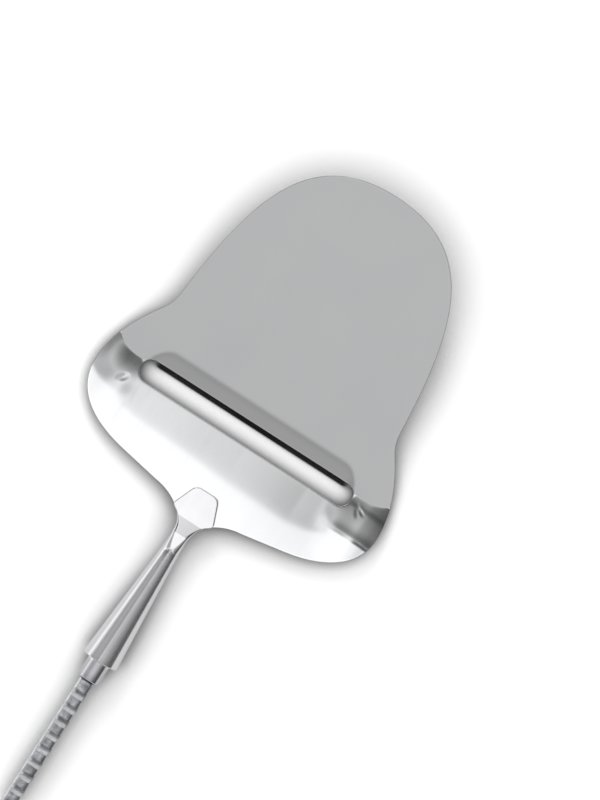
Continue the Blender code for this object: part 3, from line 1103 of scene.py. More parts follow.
    def build(self, matrix: Matrix) -> bpy.types.Object:
        """Build the sheet with its faces, its rounded rims and its ground edge.

        Args:
            matrix: Place of the sheet's frame, in millimetres.

        Returns:
            The sheet.
        """
        loops = (self.outer_loop(), self.slot_loop())
        slot = loops[1].points
        front = slot[:, 1] > self.slot_middle
        inner, outer = self.lip_half - self.lip_taper, self.lip_half + self.lip_taper
        taper = 1 - step_up(np.abs(slot[:, 0]), inner, outer)
        lips = (np.zeros(len(loops[0].points)), np.where(front, taper, 0.0))
        insets = [loop.points - loop.outward * self.rim_inset for loop in loops]
        creases = self.crease_lines(loops)
        flat = np.vstack((*insets, *creases, self.inner_points(loops, creases)))
        bounds: list[tuple[int, int]] = []
        first = 0
        for inset in insets:
            numbers = np.arange(len(inset)) + first
            bounds += list(zip(numbers.tolist(), np.roll(numbers, -1).tolist()))
            first += len(inset)
        for crease in creases:
            bounds += [(first + index, first + index + 1) for index in range(len(crease) - 1)]
            first += len(crease)
        spots, _, triangles, sources, _, _ = delaunay_2d_cdt(
            [Vector(spot) for spot in flat], bounds, [], 0, self.tolerance
        )
        spots = np.array([tuple(spot) for spot in spots])
        triangles = np.array(triangles)
        middles = spots[triangles].mean(axis=1)
        edges = [EdgeLoop.from_points(inset, hole=False) for inset in insets]
        triangles = triangles[edges[0].holds(middles) & ~edges[1].holds(middles)]
        found = {source: number for number, several in enumerate(sources) for source in several}
        top, normal = self.upper_face(spots)
        count = len(spots)
        points = [top, top - normal * self.thickness]
        ground = [np.zeros(2 * count)]
        faces: list[Sequence[int]] = triangles.tolist() + (triangles[:, ::-1] + count).tolist()
        total, first = 2 * count, 0
        radii, rim_shades = (self.rim, self.slot_rim), (self.rim_shade, 0.0)
        for loop, lip, radius, rim_shade in zip(loops, lips, radii, rim_shades):
            rings = self.rim_rings(loop, lip, radius)
            around, depth = len(lip), len(rings)
            ends = np.array([found[first + index] for index in range(around)])
            numbers = np.arange((depth - 2) * around).reshape(depth - 2, around) + total
            numbers = np.vstack((ends, numbers, ends + count))
            points.append(rings[1:-1].reshape(-1, 3))
            # Painted dark: shade on the outer rim's rings, and the dark reflection on the ground
            # lip's rings.
            edge_share = np.zeros((depth - 2, around))
            edge_share[1:-1] = rim_shade
            edge_share[self.GROUND_RINGS] = np.maximum(lip, rim_shade)
            ground.append(edge_share.ravel())
            for upper, lower in zip(numbers, numbers[1:]):
                quads = (upper, lower, np.roll(lower, -1), np.roll(upper, -1))
                faces += np.column_stack(quads).tolist()
            total += (depth - 2) * around
            first += around
        mesh = closed_mesh("blade_sheet", placed(np.vstack(points), matrix), faces, self.sharp)
        edge = mesh.attributes.new(self.PAINTED_DARK, "FLOAT", "POINT")
        edge.data.foreach_set("value", np.concatenate(ground))
        return add_object("blade_sheet", mesh)


@dataclass(frozen=True)
class Section:
    """A cross-section of a forging: an upright box with rounded corners."""

    # Most of the upper flat that a brace takes at each side.
    BRACE_SHARE = 0.3

    station: float
    half: float
    low: float
    high: float
    radius: float
    left_draft: float = 0.0
    right_draft: float = 0.0

    def ring(self, steps: int, brace: float = 0.0) -> Array:
        """Give the section's points.

        Args:
            steps: Points on each rounded corner.
            brace: How far inside its corners the upper flat has points of its own, so that it
                is shaded as flat, or 0 for none.

        Returns:
            Points round the section, in the forging's frame.
        """
        radius = min(self.radius, self.half, (self.high - self.low) / 2)
        points = []
        for quadrant, (side, up) in enumerate(((1, 1), (-1, 1), (-1, -1), (1, -1))):
            centre_x = side * (self.half - radius)
            centre_z = self.high - radius if up > 0 else self.low + radius
            for angle in np.radians(np.linspace(0.0, 90.0, steps) + 90.0 * quadrant):
                x, z = centre_x + radius * math.cos(angle), centre_z + radius * math.sin(angle)
                rise = (z - self.low) / (self.high - self.low)
                x += (self.left_draft if x < 0 else -self.right_draft) * rise
                points.append((x, -self.station, z))
        if brace:
            right, left = points[steps - 1][0], points[steps][0]
            inset = min(brace, self.BRACE_SHARE * (right - left))
            points[steps:steps] = [
                (x, -self.station, self.high) for x in (right - inset, left + inset)
            ]
        return np.array(points)


@dataclass
class StemForging:
    """The forged stem: hexagonal paddle, neck, cone and round collar.

    Its frame has the sheet's upper face under the paddle at height 0, the paddle's front at
    the origin, and the stem runs towards -Y.
    """

    paddle_station: float = 7.0
    seat_gap: float = 0.3
    paddle_top: float = 2.3
    paddle_front: float = 3.5
    paddle_half: float = 5.75
    paddle_widest: float = 6.0
    paddle_flat: float = 7.9
    crown: float = 0.35
    edge: float = 0.22
    left_draft: float = 0.6
    right_draft: float = 0.25
    slope_end: float = 11.8
    neck_station: float = 12.6
    neck_half: float = 2.05
    facet_end: float = 16.5
    axis: float = 1.5
    cone_base: float = 48.8
    cone_half: float = 4.85
    collar_half: float = 3.0
    collar_end: float = 54.3
    base_round: float = 0.35
    collar_hollow: float = 0.25
    neck_round: float = 0.9
    facet_drop: float = 0.04
    # Stations by which the paddle's drafted sides are laid bare, and from which they close.
    bare: float = 8.8
    closing: float = 9.4
    steps: int = 14
    sharp: float = 17.0

    def cone_radius(self, station: float) -> float:
        """Give the cone's radius at a station."""
        share = (station - self.neck_station) / (self.cone_base - self.neck_station)
        return self.neck_half + share * (self.cone_half - self.neck_half)

    def round_section(self, station: float, radius: float) -> Section:
        """Give a round section about the stem's axis."""
        return Section(station, radius, self.axis - radius, self.axis + radius, radius)

    def half_width(self, station: float) -> float:
        """Give half the width of the paddle and the neck at a station."""
        widest, half = self.paddle_widest, self.paddle_half
        front, neck = self.paddle_front, self.neck_half
        stations = (
            -self.crown, -0.33, -0.27, -0.15, 0.0, 0.25, 0.6, 1.1, widest - 0.7, widest - 0.25,
            widest + 0.2, widest + 0.6, 7.4, 8.5, 9.6, 11.2, self.neck_station,
        )
        halves = (
            front - 1.9, front - 1.5, front - 1.1, front - 0.7, front - 0.4, front - 0.1,
            front + 0.12, front + 0.38, half - 0.2, half - 0.05, half - 0.08, half - 0.4,
            half - 1.45, half - 2.2, half - 2.75, neck + 0.3, neck + 0.1,
        )
        return float(np.interp(station, stations, halves))

    def paddle_sections(self) -> list[Section]:
        """Give the sections of the paddle, from its bowed front to its widest place.

        Returns:
            Sections in order.
        """
        low, high = self.seat_gap, self.paddle_top
        sections = []
        for share in (0.0, 0.3, 0.65, 1.0):
            inset = self.edge * (1 - share) ** 2
            station = -self.crown + 0.02 * share
            half = self.half_width(station) + inset * 0.1
            sections.append(Section(station, half, low + inset, high - inset, self.edge))
        for station in (-0.27, -0.15, 0.0, 0.25, 0.6, 1.1, 2.3, 3.5, 4.6, 5.3, 5.75, 6.2):
            sections.append(Section(station, self.half_width(station), low, high, self.edge))
        return sections

    def neck_sections(self) -> list[Section]:
        """Give the sections where the paddle steps up to the neck and its flat facet.

        Returns:
            Sections in order.
        """
        sections = []
        facet_top = self.axis + self.cone_radius(self.facet_end) - self.facet_drop
        stations = np.concatenate((
            np.linspace(self.paddle_widest + 0.4, self.paddle_flat, 8, endpoint=False),
            np.linspace(self.paddle_flat, self.slope_end, 20),
            (12.0, 12.2, 12.4, self.neck_station),
        ))
        for station in stations:
            rise = float(np.interp(station, (self.paddle_flat, self.slope_end), (0.0, 1.0)))
            sink = float(step_up(station, self.paddle_flat, self.neck_station))
            closed = step_up(station, self.closing, self.slope_end)
            bared = float(step_up(station, self.paddle_widest, self.bare) * (1 - closed))
            high = self.paddle_top + (facet_top - self.paddle_top) * rise
            low = self.seat_gap + (self.axis - self.neck_half - self.seat_gap) * sink
            radius = self.edge + (self.neck_round - self.edge) * sink
            sections.append(Section(
                float(station), self.half_width(float(station)), low, high, radius,
                self.left_draft * bared, self.right_draft * bared,
            ))
        for share in np.linspace(0.07, 1.0, 14):
            station = self.neck_station + (self.facet_end - self.neck_station) * float(share)
            cone = self.cone_radius(station)
            half = cone + 0.1 * (1 - share) ** 2
            high = max(facet_top, self.axis + cone)
            radius = self.neck_round + (cone - self.neck_round) * share
            sections.append(Section(station, half, self.axis - cone, high, radius))
        return sections

    def cone_sections(self) -> list[Section]:
        """Give the sections of the cone, its step and the collar.

        Returns:
            Sections in order.
        """
        sections = [
            self.round_section(float(station), self.cone_radius(float(station)))
            for station in np.linspace(self.facet_end + 0.6, self.cone_base - self.base_round, 24)
        ]
        quarter = np.radians(np.linspace(15.0, 90.0, 6))
        rounds = [
            (self.base_round * (1 - math.sin(turn)), self.base_round * (1 - math.cos(turn)))
            for turn in quarter
        ]
        sections += [
            self.round_section(self.cone_base - back, self.cone_half - inward)
            for back, inward in rounds
        ]
        hollow = self.collar_hollow
        sections += [
            self.round_section(
                self.cone_base + hollow * (1 - math.cos(turn)),
                self.collar_half + hollow * (1 - math.sin(turn)),
            )
            for turn in quarter - quarter[0]
        ]
        sections += [
            self.round_section(
                self.cone_base + (self.collar_end - self.cone_base) * share, self.collar_half
            )
            for share in (0.3, 0.6, 0.9)
        ]
        sections += [
            self.round_section(self.collar_end - back, self.collar_half - inward)
            for back, inward in rounds
        ]
        return sections

    def build(self, matrix: Matrix) -> bpy.types.Object:
        """Build the stem as one loft.

        Args:
            matrix: Place of the stem's frame, in millimetres.

        Returns:
            The stem.
        """
        sections = self.paddle_sections() + self.neck_sections() + self.cone_sections()
        rings = [section.ring(self.steps, self.edge) for section in sections]
        faces = ring_faces(len(rings), len(rings[0]))
        points = placed(np.vstack(rings), matrix)
        return add_object("stem_forging", closed_mesh("stem_forging", points, faces, self.sharp))


@dataclass
class TangBar:
    """The squared bar that holds the handle, with ribs above and below.

    Its frame has its middle line along -Y from the origin, where it leaves the collar.
    """

    # Attributes: crest wear with a painted highlight on the left corner, and painted shade.
    RUBBED_AND_HIGHLIT = "rubbed_and_highlit"
    PAINTED_SHADE = "painted_shade"
    # Inputs of the ribs' node tree, and the field that each is read from.
    RIB_SIZES = {
        "Rib pitch": "rib_pitch", "Rib width": "rib_width", "Rib base": "rib_base",
        "Rib crest": "rib_crest", "Rib height": "rib_height", "Rib sink": "rib_sink",
        "Rib lean": "rib_lean", "Bar half": "half",
    }

    gap: float = 0.3
    length: float = 39.0
    half: float = 1.95
    chamfer: float = 0.9
    tip_taper: float = 2.6
    tip_half: float = 0.975
    pin_half: float = 1.5
    pin_length: float = 0.6
    # How far the bar's front is trimmed, by distance behind it.
    front_trims: Table = ((0.0, 0.15), (0.06, 0.05), (0.2, 0.0))
    front_length: float = 0.5
    rib_pitch: float = 4.0
    rib_base: float = 2.05
    rib_crest: float = 0.9
    rib_height: float = 0.38
    rib_sink: float = 0.3
    rib_lean: float = -0.42
    rib_width: float = 3.5
    rib_shrink: float = 0.86
    uneven: float = 0.05
    uneven_size: float = 0.9
    uneven_over: float = 1.0
    seed: int = 7
    station_step: float = 0.35
    corner_steps: int = 5
    side_steps: int = 8
    tip_inset: float = 0.5
    sharp: float = 40.0
    # How dark the painted shade is on the ribs' walls and along the bar's right side, and how
    # far it is lifted at the left edge.
    wall_shade: float = 0.75
    side_shade: float = 0.6
    side_from: Span = (0.2, 1.2)
    side_until: Span = (1.3, 1.8)
    edge_lift: float = 0.8
    soft_edge: float = 0.2
    # Where these patches of painted shade begin and end, from a rib's foot, its crest or the
    # bar's left corner.
    wall_from: Span = (-0.25, 0.1)
    wall_past: float = 0.02
    corner_lift_over: Span = (-0.3, 0.1)
    # Where the crests of the ribs are lighter from wear, and where the bar's left corner gets a
    # painted highlight.
    crest_over: Span = (0.1, -0.05)
    corner_over: Span = (-0.2, 0.3)

    def bar_mesh(self) -> bpy.types.Mesh:
        """Make the plain bar in its own frame.

        Returns:
            The bar, in metres.
        """
        sections = [
            Section(station, self.pin_half, -self.pin_half, self.pin_half, self.pin_half)
            for station in (-self.pin_length, 0.0)
        ]
        front = self.gap
        for past, trim in self.front_trims:
            half = self.half - trim
            sections.append(Section(front + past, half, -half, half, self.chamfer))
        end = self.gap + self.length
        start = front + self.front_length
        for station in np.arange(start, end - self.tip_taper, self.station_step):
            sections.append(Section(float(station), self.half, -self.half, self.half, self.chamfer))
        for share in np.linspace(0.0, 1.0, self.side_steps):
            station = end - self.tip_taper * (1 - share)
            tall = self.half + (self.tip_half - self.half) * share
            wide = self.half - self.tip_inset * share**3
            sections.append(Section(float(station), wide, -tall, tall, self.chamfer))
        rings = [self.split_sides(section.ring(self.corner_steps)) for section in sections]
        faces = ring_faces(len(rings), len(rings[0]))
        return closed_mesh("tang_bar", np.vstack(rings) * MM, faces, self.sharp)

    def split_sides(self, ring: Array) -> Array:
        """Add points along the flat sides of a section, so that they can be uneven."""
        corners = ring.reshape(4, -1, 3)
        sides = []
        for corner, following in zip(corners, np.roll(corners, -1, axis=0)):
            share = np.linspace(0.0, 1.0, self.side_steps)[1:-1, None]
            sides += [corner, corner[-1] * (1 - share) + following[0] * share]
        return np.vstack(sides)

    def rib_tree(self, material: bpy.types.Material) -> bpy.types.NodeTree:
        """Build the node tree that sets ribs along the bar, above and below.

        Args:
            material: Finish of the bar and its ribs.

        Returns:
            The tree, with a named input for each size.
        """
        tree = bpy.data.node_groups.new("tang_ribs", "GeometryNodeTree")
        kinds = {"Bar": "Geometry", "Rib count": "Int", "First rib": "Float"}
        kinds |= dict.fromkeys(self.RIB_SIZES, "Float")
        for name, kind in kinds.items():
            tree.interface.new_socket(name, in_out="INPUT", socket_type=f"NodeSocket{kind}")
        tree.interface.new_socket("Ribbed bar", in_out="OUTPUT", socket_type="NodeSocketGeometry")
        given = add_node(tree, "NodeGroupInput").outputs
        sockets: dict[object, object] = {name: given[name] for name in kinds}
        spot = add_node(tree, "GeometryNodeInputPosition").outputs[0]
        sockets |= add_node(tree, "ShaderNodeSeparateXYZ", {0: spot}).outputs.items()
        maths, vector, mapped = "ShaderNodeMath", "ShaderNodeCombineXYZ", "ShaderNodeMapRange"
        upwards = {"Value": "Z", "From Min": "foot", "From Max": "half"}
        upside_down = (0.0, math.pi, 0.0)
        # Name and kind of each node, what feeds it and its operation. A name stands for the
        # first output of the node, or for the input of the tree, that is called so.
        for name, kind, inputs, *operation in (
            ("start", maths, {0: 0.0, 1: "First rib"}, "SUBTRACT"),
            ("pitch", maths, {0: 0.0, 1: "Rib pitch"}, "SUBTRACT"),
            ("corner", vector, {"Y": "start", "Z": "Bar half"}),
            ("stride", vector, {"Y": "pitch"}),
            (
                "line", "GeometryNodeMeshLine",
                {"Count": "Rib count", "Start Location": "corner", "Offset": "stride"},
            ),
            ("tall", maths, {0: "Rib height", 1: "Rib sink"}, "ADD"),
            ("box", vector, {"X": "Rib width", "Y": "Rib base", "Z": "tall"}),
            (
                "block", "GeometryNodeMeshCube",
                {"Size": "box", "Vertices X": 14, "Vertices Y": 7, "Vertices Z": 5},
            ),
            ("half", maths, {0: "tall", 1: 0.5}, "MULTIPLY"),
            ("foot", maths, {0: 0.0, 1: "half"}, "SUBTRACT"),
            ("thin", maths, {0: "Rib crest", 1: "Rib base"}, "DIVIDE"),
            ("narrow", mapped, {**upwards, "To Min": 1.0, "To Max": "thin"}),
            ("short", mapped, {**upwards, "To Min": 1.0, "To Max": self.rib_shrink}),
            ("crest", mapped, {**upwards, "To Min": 0.0, "To Max": "Rib lean"}),
            ("wide", maths, {0: "X", 1: "short"}, "MULTIPLY"),
            ("deep", maths, {0: "Y", 1: "narrow"}, "MULTIPLY"),
            ("leaning", maths, {0: "deep", 1: "crest"}, "ADD"),
            ("raised", maths, {0: "Z", 1: "half"}, "ADD"),
            ("seated", maths, {0: "raised", 1: "Rib sink"}, "SUBTRACT"),
            ("shaped", vector, {"X": "wide", "Y": "leaning", "Z": "seated"}),
            ("rib", "GeometryNodeSetPosition", {"Geometry": "block", "Position": "shaped"}),
            ("upper", "GeometryNodeInstanceOnPoints", {"Points": "line", "Instance": "rib"}),
            ("lower", "GeometryNodeTransform", {"Geometry": "upper", "Rotation": upside_down}),
        ):
            fed = {key: sockets.get(source, source) for key, source in inputs.items()}
            settings = dict(zip(("operation",), operation))
            sockets[name] = add_node(tree, kind, fed, **settings).outputs[0]
        joined = add_node(tree, "GeometryNodeJoinGeometry")
        for name in ("Bar", "upper", "lower"):
            tree.links.new(sockets[name], joined.inputs["Geometry"])
        real = add_node(tree, "GeometryNodeRealizeInstances", {"Geometry": joined.outputs[0]})
        dressed = add_node(
            tree, "GeometryNodeSetMaterial", {"Geometry": real.outputs[0], "Material": material}
        )
        add_node(tree, "NodeGroupOutput", {0: dressed.outputs[0]})
        return tree

    def painted_shade(self, points: Array, first: float) -> Array:
        """Give how much painted shade lies at the feet of the ribs and along the bar's right.

        Args:
            points: Points of the ribbed bar in its own frame.
            first: Station of the first rib.

        Returns:
            Share from 0 to 1 at each point.
        """
        after = (-points[:, 1] - first + self.rib_pitch / 2) % self.rib_pitch - self.rib_pitch / 2
        foot, crest = -self.rib_base / 2, -self.rib_crest / 2 - self.rib_lean
        soft, corner = self.soft_edge, self.half - self.chamfer
        wall = step_up(after, *(foot + past for past in self.wall_from))
        wall = wall * (1 - step_up(after, crest - soft, crest + self.wall_past))
        pocket = step_up(after, crest - soft, crest) * (1 - step_up(after, -foot - soft, -foot))
        right = self.side_shade * step_up(points[:, 0], *self.side_from)
        right = right * (1 - step_up(points[:, 0], *self.side_until)) * (1 - pocket)
        edge_share = step_up(-points[:, 0], *(corner + past for past in self.corner_lift_over))
        wall = self.wall_shade * wall * (1 - self.edge_lift * edge_share)
        return np.maximum(wall, right) * (points[:, 1] < -self.gap - self.front_length)

    def build(self, matrix: Matrix, material: bpy.types.Material) -> bpy.types.Object:
        """Build the ribbed bar and make its forged skin uneven.

        Args:
            matrix: Place of the bar's frame, in millimetres.
            material: Its finish.

        Returns:
            The bar with its ribs.
        """
        draft = add_object("tang_draft", self.bar_mesh())
        tree = self.rib_tree(material)
        ribs = draft.modifiers.new("ribs", "NODES")
        ribs.node_group = tree
        first = self.gap + self.rib_pitch
        ribbed = self.length - self.tip_taper - self.rib_base / 2 - self.rib_pitch
        sizes = {"Rib count": int(ribbed / self.rib_pitch) + 1, "First rib": first * MM}
        sizes |= {name: getattr(self, size) * MM for name, size in self.RIB_SIZES.items()}
        for item in tree.interface.items_tree:
            if item.in_out == "INPUT" and item.name in sizes:
                ribs[item.identifier] = sizes[item.name]
        graph = bpy.context.evaluated_depsgraph_get()
        mesh = bpy.data.meshes.new_from_object(draft.evaluated_get(graph))
        mesh.name = "tang_bar"
        bpy.data.objects.remove(draft)
        bpy.data.node_groups.remove(tree)
        points = np.empty(len(mesh.vertices) * 3)
        mesh.vertices.foreach_get("co", points)
        points = points.reshape(-1, 3) / MM
        low, high = self.crest_over
        crest = step_up(np.abs(points[:, 2]), self.half + low, self.half + self.rib_height + high)
        corner = (self.half - self.chamfer + past for past in self.corner_over)
        # The crests are lighter from wear; the lighter strip on the left corner is a painted
        # highlight.
        rubbed_and_highlit = np.maximum(crest, step_up(-points[:, 0], *corner))
        for name, share in ((self.RUBBED_AND_HIGHLIT, rubbed_and_highlit), (self.PAINTED_SHADE, self.painted_shade(points, first))):
            mesh.attributes.new(name, "FLOAT", "POINT").data.foreach_set("value", share)
        # Without a seed of its own the noise would change from run to run.
        noise.seed_set(self.seed)
        shift = np.array([noise.noise_vector(Vector(point / self.uneven_size)) for point in points])
        rough = step_up(-points[:, 1], self.gap, self.gap + self.uneven_over)[:, None]
        points = points + self.uneven * shift * rough
        mesh.vertices.foreach_set("co", placed(points, matrix).ravel())
        mesh.shade_smooth()
        mesh.set_sharp_from_angle(angle=math.radians(self.sharp))
        mesh.update()
        return add_object("tang_bar", mesh)


@dataclass
class WeldNugget:
    """A resistance weld: a frozen lens of metal between the paddle and the sheet."""

    radius: float = 1.4
    thickness: float = 0.3
    bulge: float = 0.12
    around: int = 32
    levels: int = 7
    sharp: float = 40.0

    def build(self, node: Node, matrix: Matrix) -> bpy.types.Object:
        """Build the nugget where its CAD node is.

        Args:
            node: CAD node that it stands for.
            matrix: Place of the stem's frame, in millimetres.

        Returns:
            The nugget.
        """
        low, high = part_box(node.value)
        middle = matrix.inverted() @ ((low + high) / 2 / MM)
        turn = np.linspace(0.0, 2 * math.pi, self.around, endpoint=False)
        rings = []
        for share in np.linspace(0.0, 1.0, self.levels):
            radius = self.radius + self.bulge * math.sin(math.pi * share)
            height = self.thickness * share
            x, y = middle.x + radius * np.cos(turn), middle.y + radius * np.sin(turn)
            rings.append(np.column_stack((x, y, np.full(self.around, height))))
        name = node.value.replace("nugget", "lens")
        faces = ring_faces(len(rings), self.around)
        mesh = closed_mesh(name, placed(np.vstack(rings), matrix), faces, self.sharp)
        return add_object(name, mesh)


@dataclass
class CheeseSlicer:
    """The whole slicer, lying on its cutting lip and on the rim of its cone."""

    tilt: float = 12.152689
    ahead: float = -1.988683
    up: float = -3.417317
    blade: BladeSheet = field(default_factory=BladeSheet)
    stem: StemForging = field(default_factory=StemForging)
    tang: TangBar = field(default_factory=TangBar)
    weld: WeldNugget = field(default_factory=WeldNugget)

    def blade_place(self) -> Matrix:
        """Give the place of the sheet's frame."""
        turn = Matrix.Rotation(math.radians(self.tilt), 4, "X")
        return Matrix.Translation((0.0, self.ahead, self.up)) @ turn

    def stem_place(self) -> Matrix:
        """Give the place of the stem's frame on the sheet's sloping rear."""
        station = self.stem.paddle_station
        rise = float(self.blade.height(np.zeros(1), np.array((station,)))[0])
        seat = Matrix.Translation((0.0, station, rise))
        turn = Matrix.Rotation(-math.radians(self.blade.rear_slope), 4, "X")
        return self.blade_place() @ seat @ turn

    def build(self) -> None:
        """Build and dress every piece."""
        stem_place = self.stem_place()
        tang_place = stem_place @ Matrix.Translation((0.0, -self.stem.collar_end, self.stem.axis))
        sheet, forging = PolishedSheet().material(), PolishedForging().material()
        hand_over(self.blade.build(self.blade_place()), sheet, Node.BLADE)
        hand_over(self.stem.build(stem_place), forging, Node.STEM)
        scale = ForgedScale().material()
        hand_over(self.tang.build(tang_place, scale), scale, Node.TANG)
        melt = WeldMetal().material()
        for node in (Node.WELD_FRONT, Node.WELD_REAR):
            hand_over(self.weld.build(node, stem_place), melt, node)


@dataclass
class Studio:
    """Pale table, soft light from all round with a key lamp, and a camera straight above."""

    floor_size: float = 24.0
    floor_colour: str = "#FAFAFA"
    floor_glow: float = 0.4
    # Reach and strength of the painted shadow on the table, wide round the slicer and close in
    # under it.
    painted_halo: float = 40.0
    halo_open: float = 0.86
    halo_depth: float = 1.7
    painted_nook: float = 4.0
    nook_depth: float = 0.6
    camera_x: float = 6.82
    camera_y: float = 35.71
    camera_z: float = 563.0
    camera_turn: float = 32.7
    camera_lens: float = 101.61
    key_power: float = 14.0
    key_size: float = 0.8
    key_away: float = 2.6
    key_from: tuple[float, float, float] = (-0.5, 0.75, 0.6)
    # Brightness of the dome by angle from the zenith, in degrees towards the blade's tip.
    bands: Table = (
        (-90.0, 1.2), (-66.0, 0.96), (-58.0, 0.56), (-48.0, 0.51), (-36.0, 0.46), (-26.0, 0.74),
        (-16.0, 0.74), (-10.0, 0.96), (-7.0, 1.84), (-2.9, 1.84), (-1.2, 1.44), (3.0, 1.36),
        (14.5, 1.36), (17.6, 0.7), (19.6, 0.3), (22.0, 0.2), (26.0, 0.15), (29.0, 0.25),
        (31.5, 0.85), (34.0, 1.6), (44.0, 1.6), (60.0, 1.2), (90.0, 1.04),
    )
    # Share of that brightness by sideways direction, from -1 at the left to 1 at the right.
    strip: Table = (
        (-1.0, 0.14), (-0.2, 0.16), (-0.14, 0.32), (-0.105, 0.85), (-0.085, 1.0), (-0.057, 1.0),
        (-0.026, 0.93), (-0.013, 0.84), (-0.005, 0.7), (0.004, 0.55), (0.013, 0.5), (0.035, 0.48),
        (0.06, 0.46), (0.12, 0.5), (0.2, 0.54), (0.27, 0.44), (0.34, 0.3), (1.0, 0.28),
    )
    # How far that share holds, by angle as for the bands.
    hold: Table = (
        (-90.0, 0.0), (-9.0, 0.0), (-4.0, 0.1), (-2.6, 0.4), (-1.2, 1.0), (13.0, 1.0),
        (15.5, 0.45), (22.0, 0.45), (28.0, 1.0), (35.0, 1.0), (48.0, 0.3), (90.0, 0.3),
    )
    # Share of the brightness at every angle, by sideways direction as for the strip.
    flanks: Table = (
        (-1.0, 2.7), (-0.93, 2.2), (-0.85, 1.15), (-0.7, 0.86), (-0.45, 0.78), (-0.2, 1.0),
        (0.24, 1.0), (0.48, 0.82), (0.69, 0.57), (0.87, 0.29), (1.0, 0.25),
    )
    # Brightness near the horizon and on it, by sideways direction as for the strip, and the
    # upward directions over which each gives way to what is above it.
    skirt: Table = (
        (-1.0, 1.76), (-0.85, 1.6), (-0.5, 1.2), (0.4, 1.12), (0.75, 0.4), (0.9, 0.16), (1.0, 0.16),
    )
    skirt_until: Span = (0.2, 0.45)
    horizon: Table = ((-1.0, 1.6), (-0.6, 0.96), (0.0, 0.8), (1.0, 0.72))
    horizon_until: Span = (0.03, 0.08)

    def add_floor(self) -> None:
        """Lay a matt pale table top under the slicer, darkened near it by a painted shadow."""
        half = self.floor_size / 2
        corners = [(-half, -half, 0), (half, -half, 0), (half, half, 0), (-half, half, 0)]
        mesh = bpy.data.meshes.new("table_top")
        mesh.from_pydata(corners, [], [(0, 1, 2, 3)])
        material = bpy.data.materials.new("matt_table_paper")
        material.use_nodes = True
        tree = material.node_tree
        tree.nodes.clear()
        maths = "ShaderNodeMath"
        # Ambient occlusion darkens the paper and its glow near the slicer: a painted shadow, wide
        # and close.
        sky, near = (
            add_node(tree, "ShaderNodeAmbientOcclusion", {"Distance": reach * MM}).outputs["AO"]
            for reach in (self.painted_halo, self.painted_nook)
        )
        clear = add_node(tree, "ShaderNodeMapRange", {"Value": sky, "From Max": self.halo_open})
        fade, near = (
            add_node(tree, maths, {0: open_sky, 1: depth}, operation="POWER").outputs[0]
            for open_sky, depth in ((clear.outputs[0], self.halo_depth), (near, self.nook_depth))
        )
        fade = add_node(tree, maths, {0: fade, 1: near}, operation="MULTIPLY").outputs[0]
        shaded = add_node(
            tree, "ShaderNodeMix",
            {0: fade, 6: linear("#000000"), 7: linear(self.floor_colour)}, data_type="RGBA",
        )
        paper = add_node(tree, "ShaderNodeBsdfDiffuse", {"Color": shaded.outputs[2]})
        ray = add_node(tree, "ShaderNodeLightPath").outputs
        seen = ray["Is Camera Ray"]
        for kind in ("Is Glossy Ray", "Is Transmission Ray"):
            seen = add_node(tree, maths, {0: seen, 1: ray[kind]}, operation="MAXIMUM").outputs[0]
        lift = seen
        for share in (self.floor_glow, fade):
            lift = add_node(tree, maths, {0: lift, 1: share}, operation="MULTIPLY").outputs[0]
        glow = add_node(tree, "ShaderNodeEmission", {"Strength": lift})
        white = add_node(tree, "ShaderNodeAddShader", {0: paper.outputs[0], 1: glow.outputs[0]})
        add_node(tree, "ShaderNodeOutputMaterial", {"Surface": white.outputs[0]})
        mesh.materials.append(material)
        add_object("table_top", mesh)

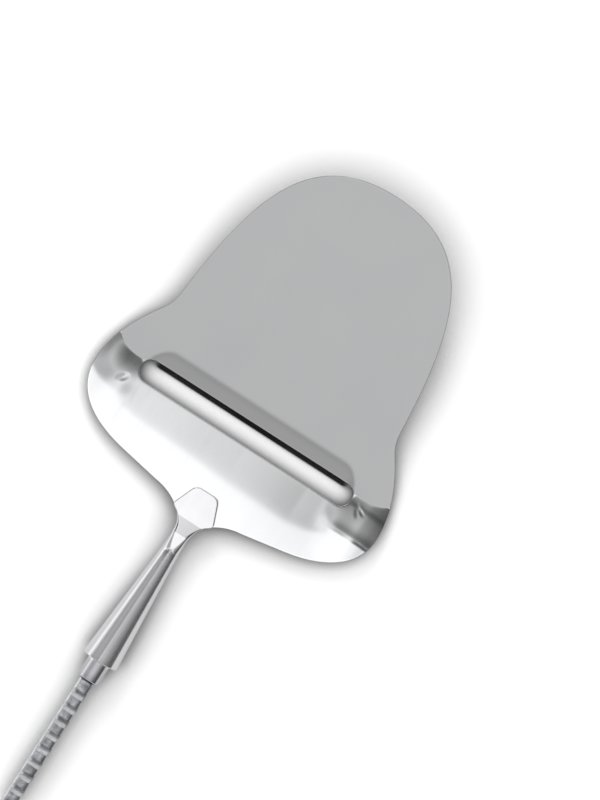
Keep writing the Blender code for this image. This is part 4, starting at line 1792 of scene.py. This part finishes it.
    def add_dome(self) -> None:
        """Light the slicer from a dome with soft boxes and dark gaps between them."""
        world = bpy.data.worlds.new("studio_dome")
        bpy.context.scene.world = world
        world.use_nodes = True
        tree = world.node_tree
        tree.nodes.clear()
        maths = "ShaderNodeMath"
        spot = add_node(tree, "ShaderNodeTexCoord").outputs["Generated"]
        way = add_node(tree, "ShaderNodeSeparateXYZ", {0: spot}).outputs
        turn = add_node(tree, maths, {0: way["Y"], 1: way["Z"]}, operation="ARCTAN2").outputs[0]
        sideways, quarter = way["X"], math.pi / 2
        levels = []
        across = (self.strip, self.flanks, self.skirt, self.horizon)
        for value, span, stops in (
            (turn, quarter, [(math.radians(degrees), level) for degrees, level in self.bands]),
            (turn, quarter, [(math.radians(degrees), share) for degrees, share in self.hold]),
            *((sideways, 1.0, table) for table in across),
        ):
            share = add_node(
                tree, "ShaderNodeMapRange", {"Value": value, "From Min": -span, "From Max": span}
            )
            ramp = add_node(tree, "ShaderNodeValToRGB", {"Fac": share.outputs[0]})
            ramp.color_ramp.interpolation = "EASE"
            elements = ramp.color_ramp.elements
            full = max(level for _, level in stops)
            for element, (place, level) in zip(elements, (stops[0], stops[-1])):
                element.position = (place / span + 1) / 2
                element.color = (*[level / full] * 3, 1.0)
            for place, level in stops[1:-1]:
                elements.new((place / span + 1) / 2).color = (*[level / full] * 3, 1.0)
            levels.append(add_node(
                tree, maths, {0: ramp.outputs["Color"], 1: full}, operation="MULTIPLY"
            ).outputs[0])
        level, hold, strip, flanks, skirt, horizon = levels
        kept = add_node(tree, "ShaderNodeMix", {0: hold, 2: 1.0, 3: strip}).outputs[0]
        for share in (kept, flanks):
            level = add_node(tree, maths, {0: level, 1: share}, operation="MULTIPLY").outputs[0]
        for (lower, upper), below in ((self.skirt_until, skirt), (self.horizon_until, horizon)):
            above = add_node(
                tree, "ShaderNodeMapRange",
                {"Value": way["Z"], "From Min": lower, "From Max": upper},
                interpolation_type="SMOOTHSTEP",
            )
            level = add_node(
                tree, "ShaderNodeMix", {0: above.outputs[0], 2: below, 3: level}
            ).outputs[0]
        glow = add_node(
            tree, "ShaderNodeBackground", {"Color": linear("#FFFFFF"), "Strength": level}
        )
        add_node(tree, "ShaderNodeOutputWorld", {"Surface": glow.outputs[0]})

    def add_key(self) -> None:
        """Hang the key lamp beyond the tip and to the left, so that shadows fall opposite."""
        lamp = bpy.data.lights.new("key_softbox", "AREA")
        lamp.energy = self.key_power
        lamp.size = self.key_size
        light = add_object("key_softbox", lamp)
        light.location = Vector(self.key_from).normalized() * self.key_away
        light.rotation_euler = Vector(self.key_from).to_track_quat("Z", "Y").to_euler()

    def add_camera(self) -> None:
        """Set the camera straight above the slicer, turned as in the photograph."""
        data = bpy.data.cameras.new("camera")
        data.lens = self.camera_lens
        camera = add_object("camera", data)
        camera.location = Vector((self.camera_x, self.camera_y, self.camera_z)) * MM
        camera.rotation_euler = (0.0, 0.0, math.radians(self.camera_turn))
        bpy.context.scene.camera = camera

    def build(self) -> None:
        """Set up the camera, the table and the light."""
        self.add_camera()
        self.add_floor()
        self.add_dome()
        self.add_key()
        bpy.context.scene.view_settings.view_transform = "Standard"


def main() -> None:
    """Build the studio and the slicer."""
    logging.basicConfig(level=logging.INFO, format="%(name)s: %(message)s")
    Studio().build()
    CheeseSlicer().build()


if __name__ == "__main__":
    main()
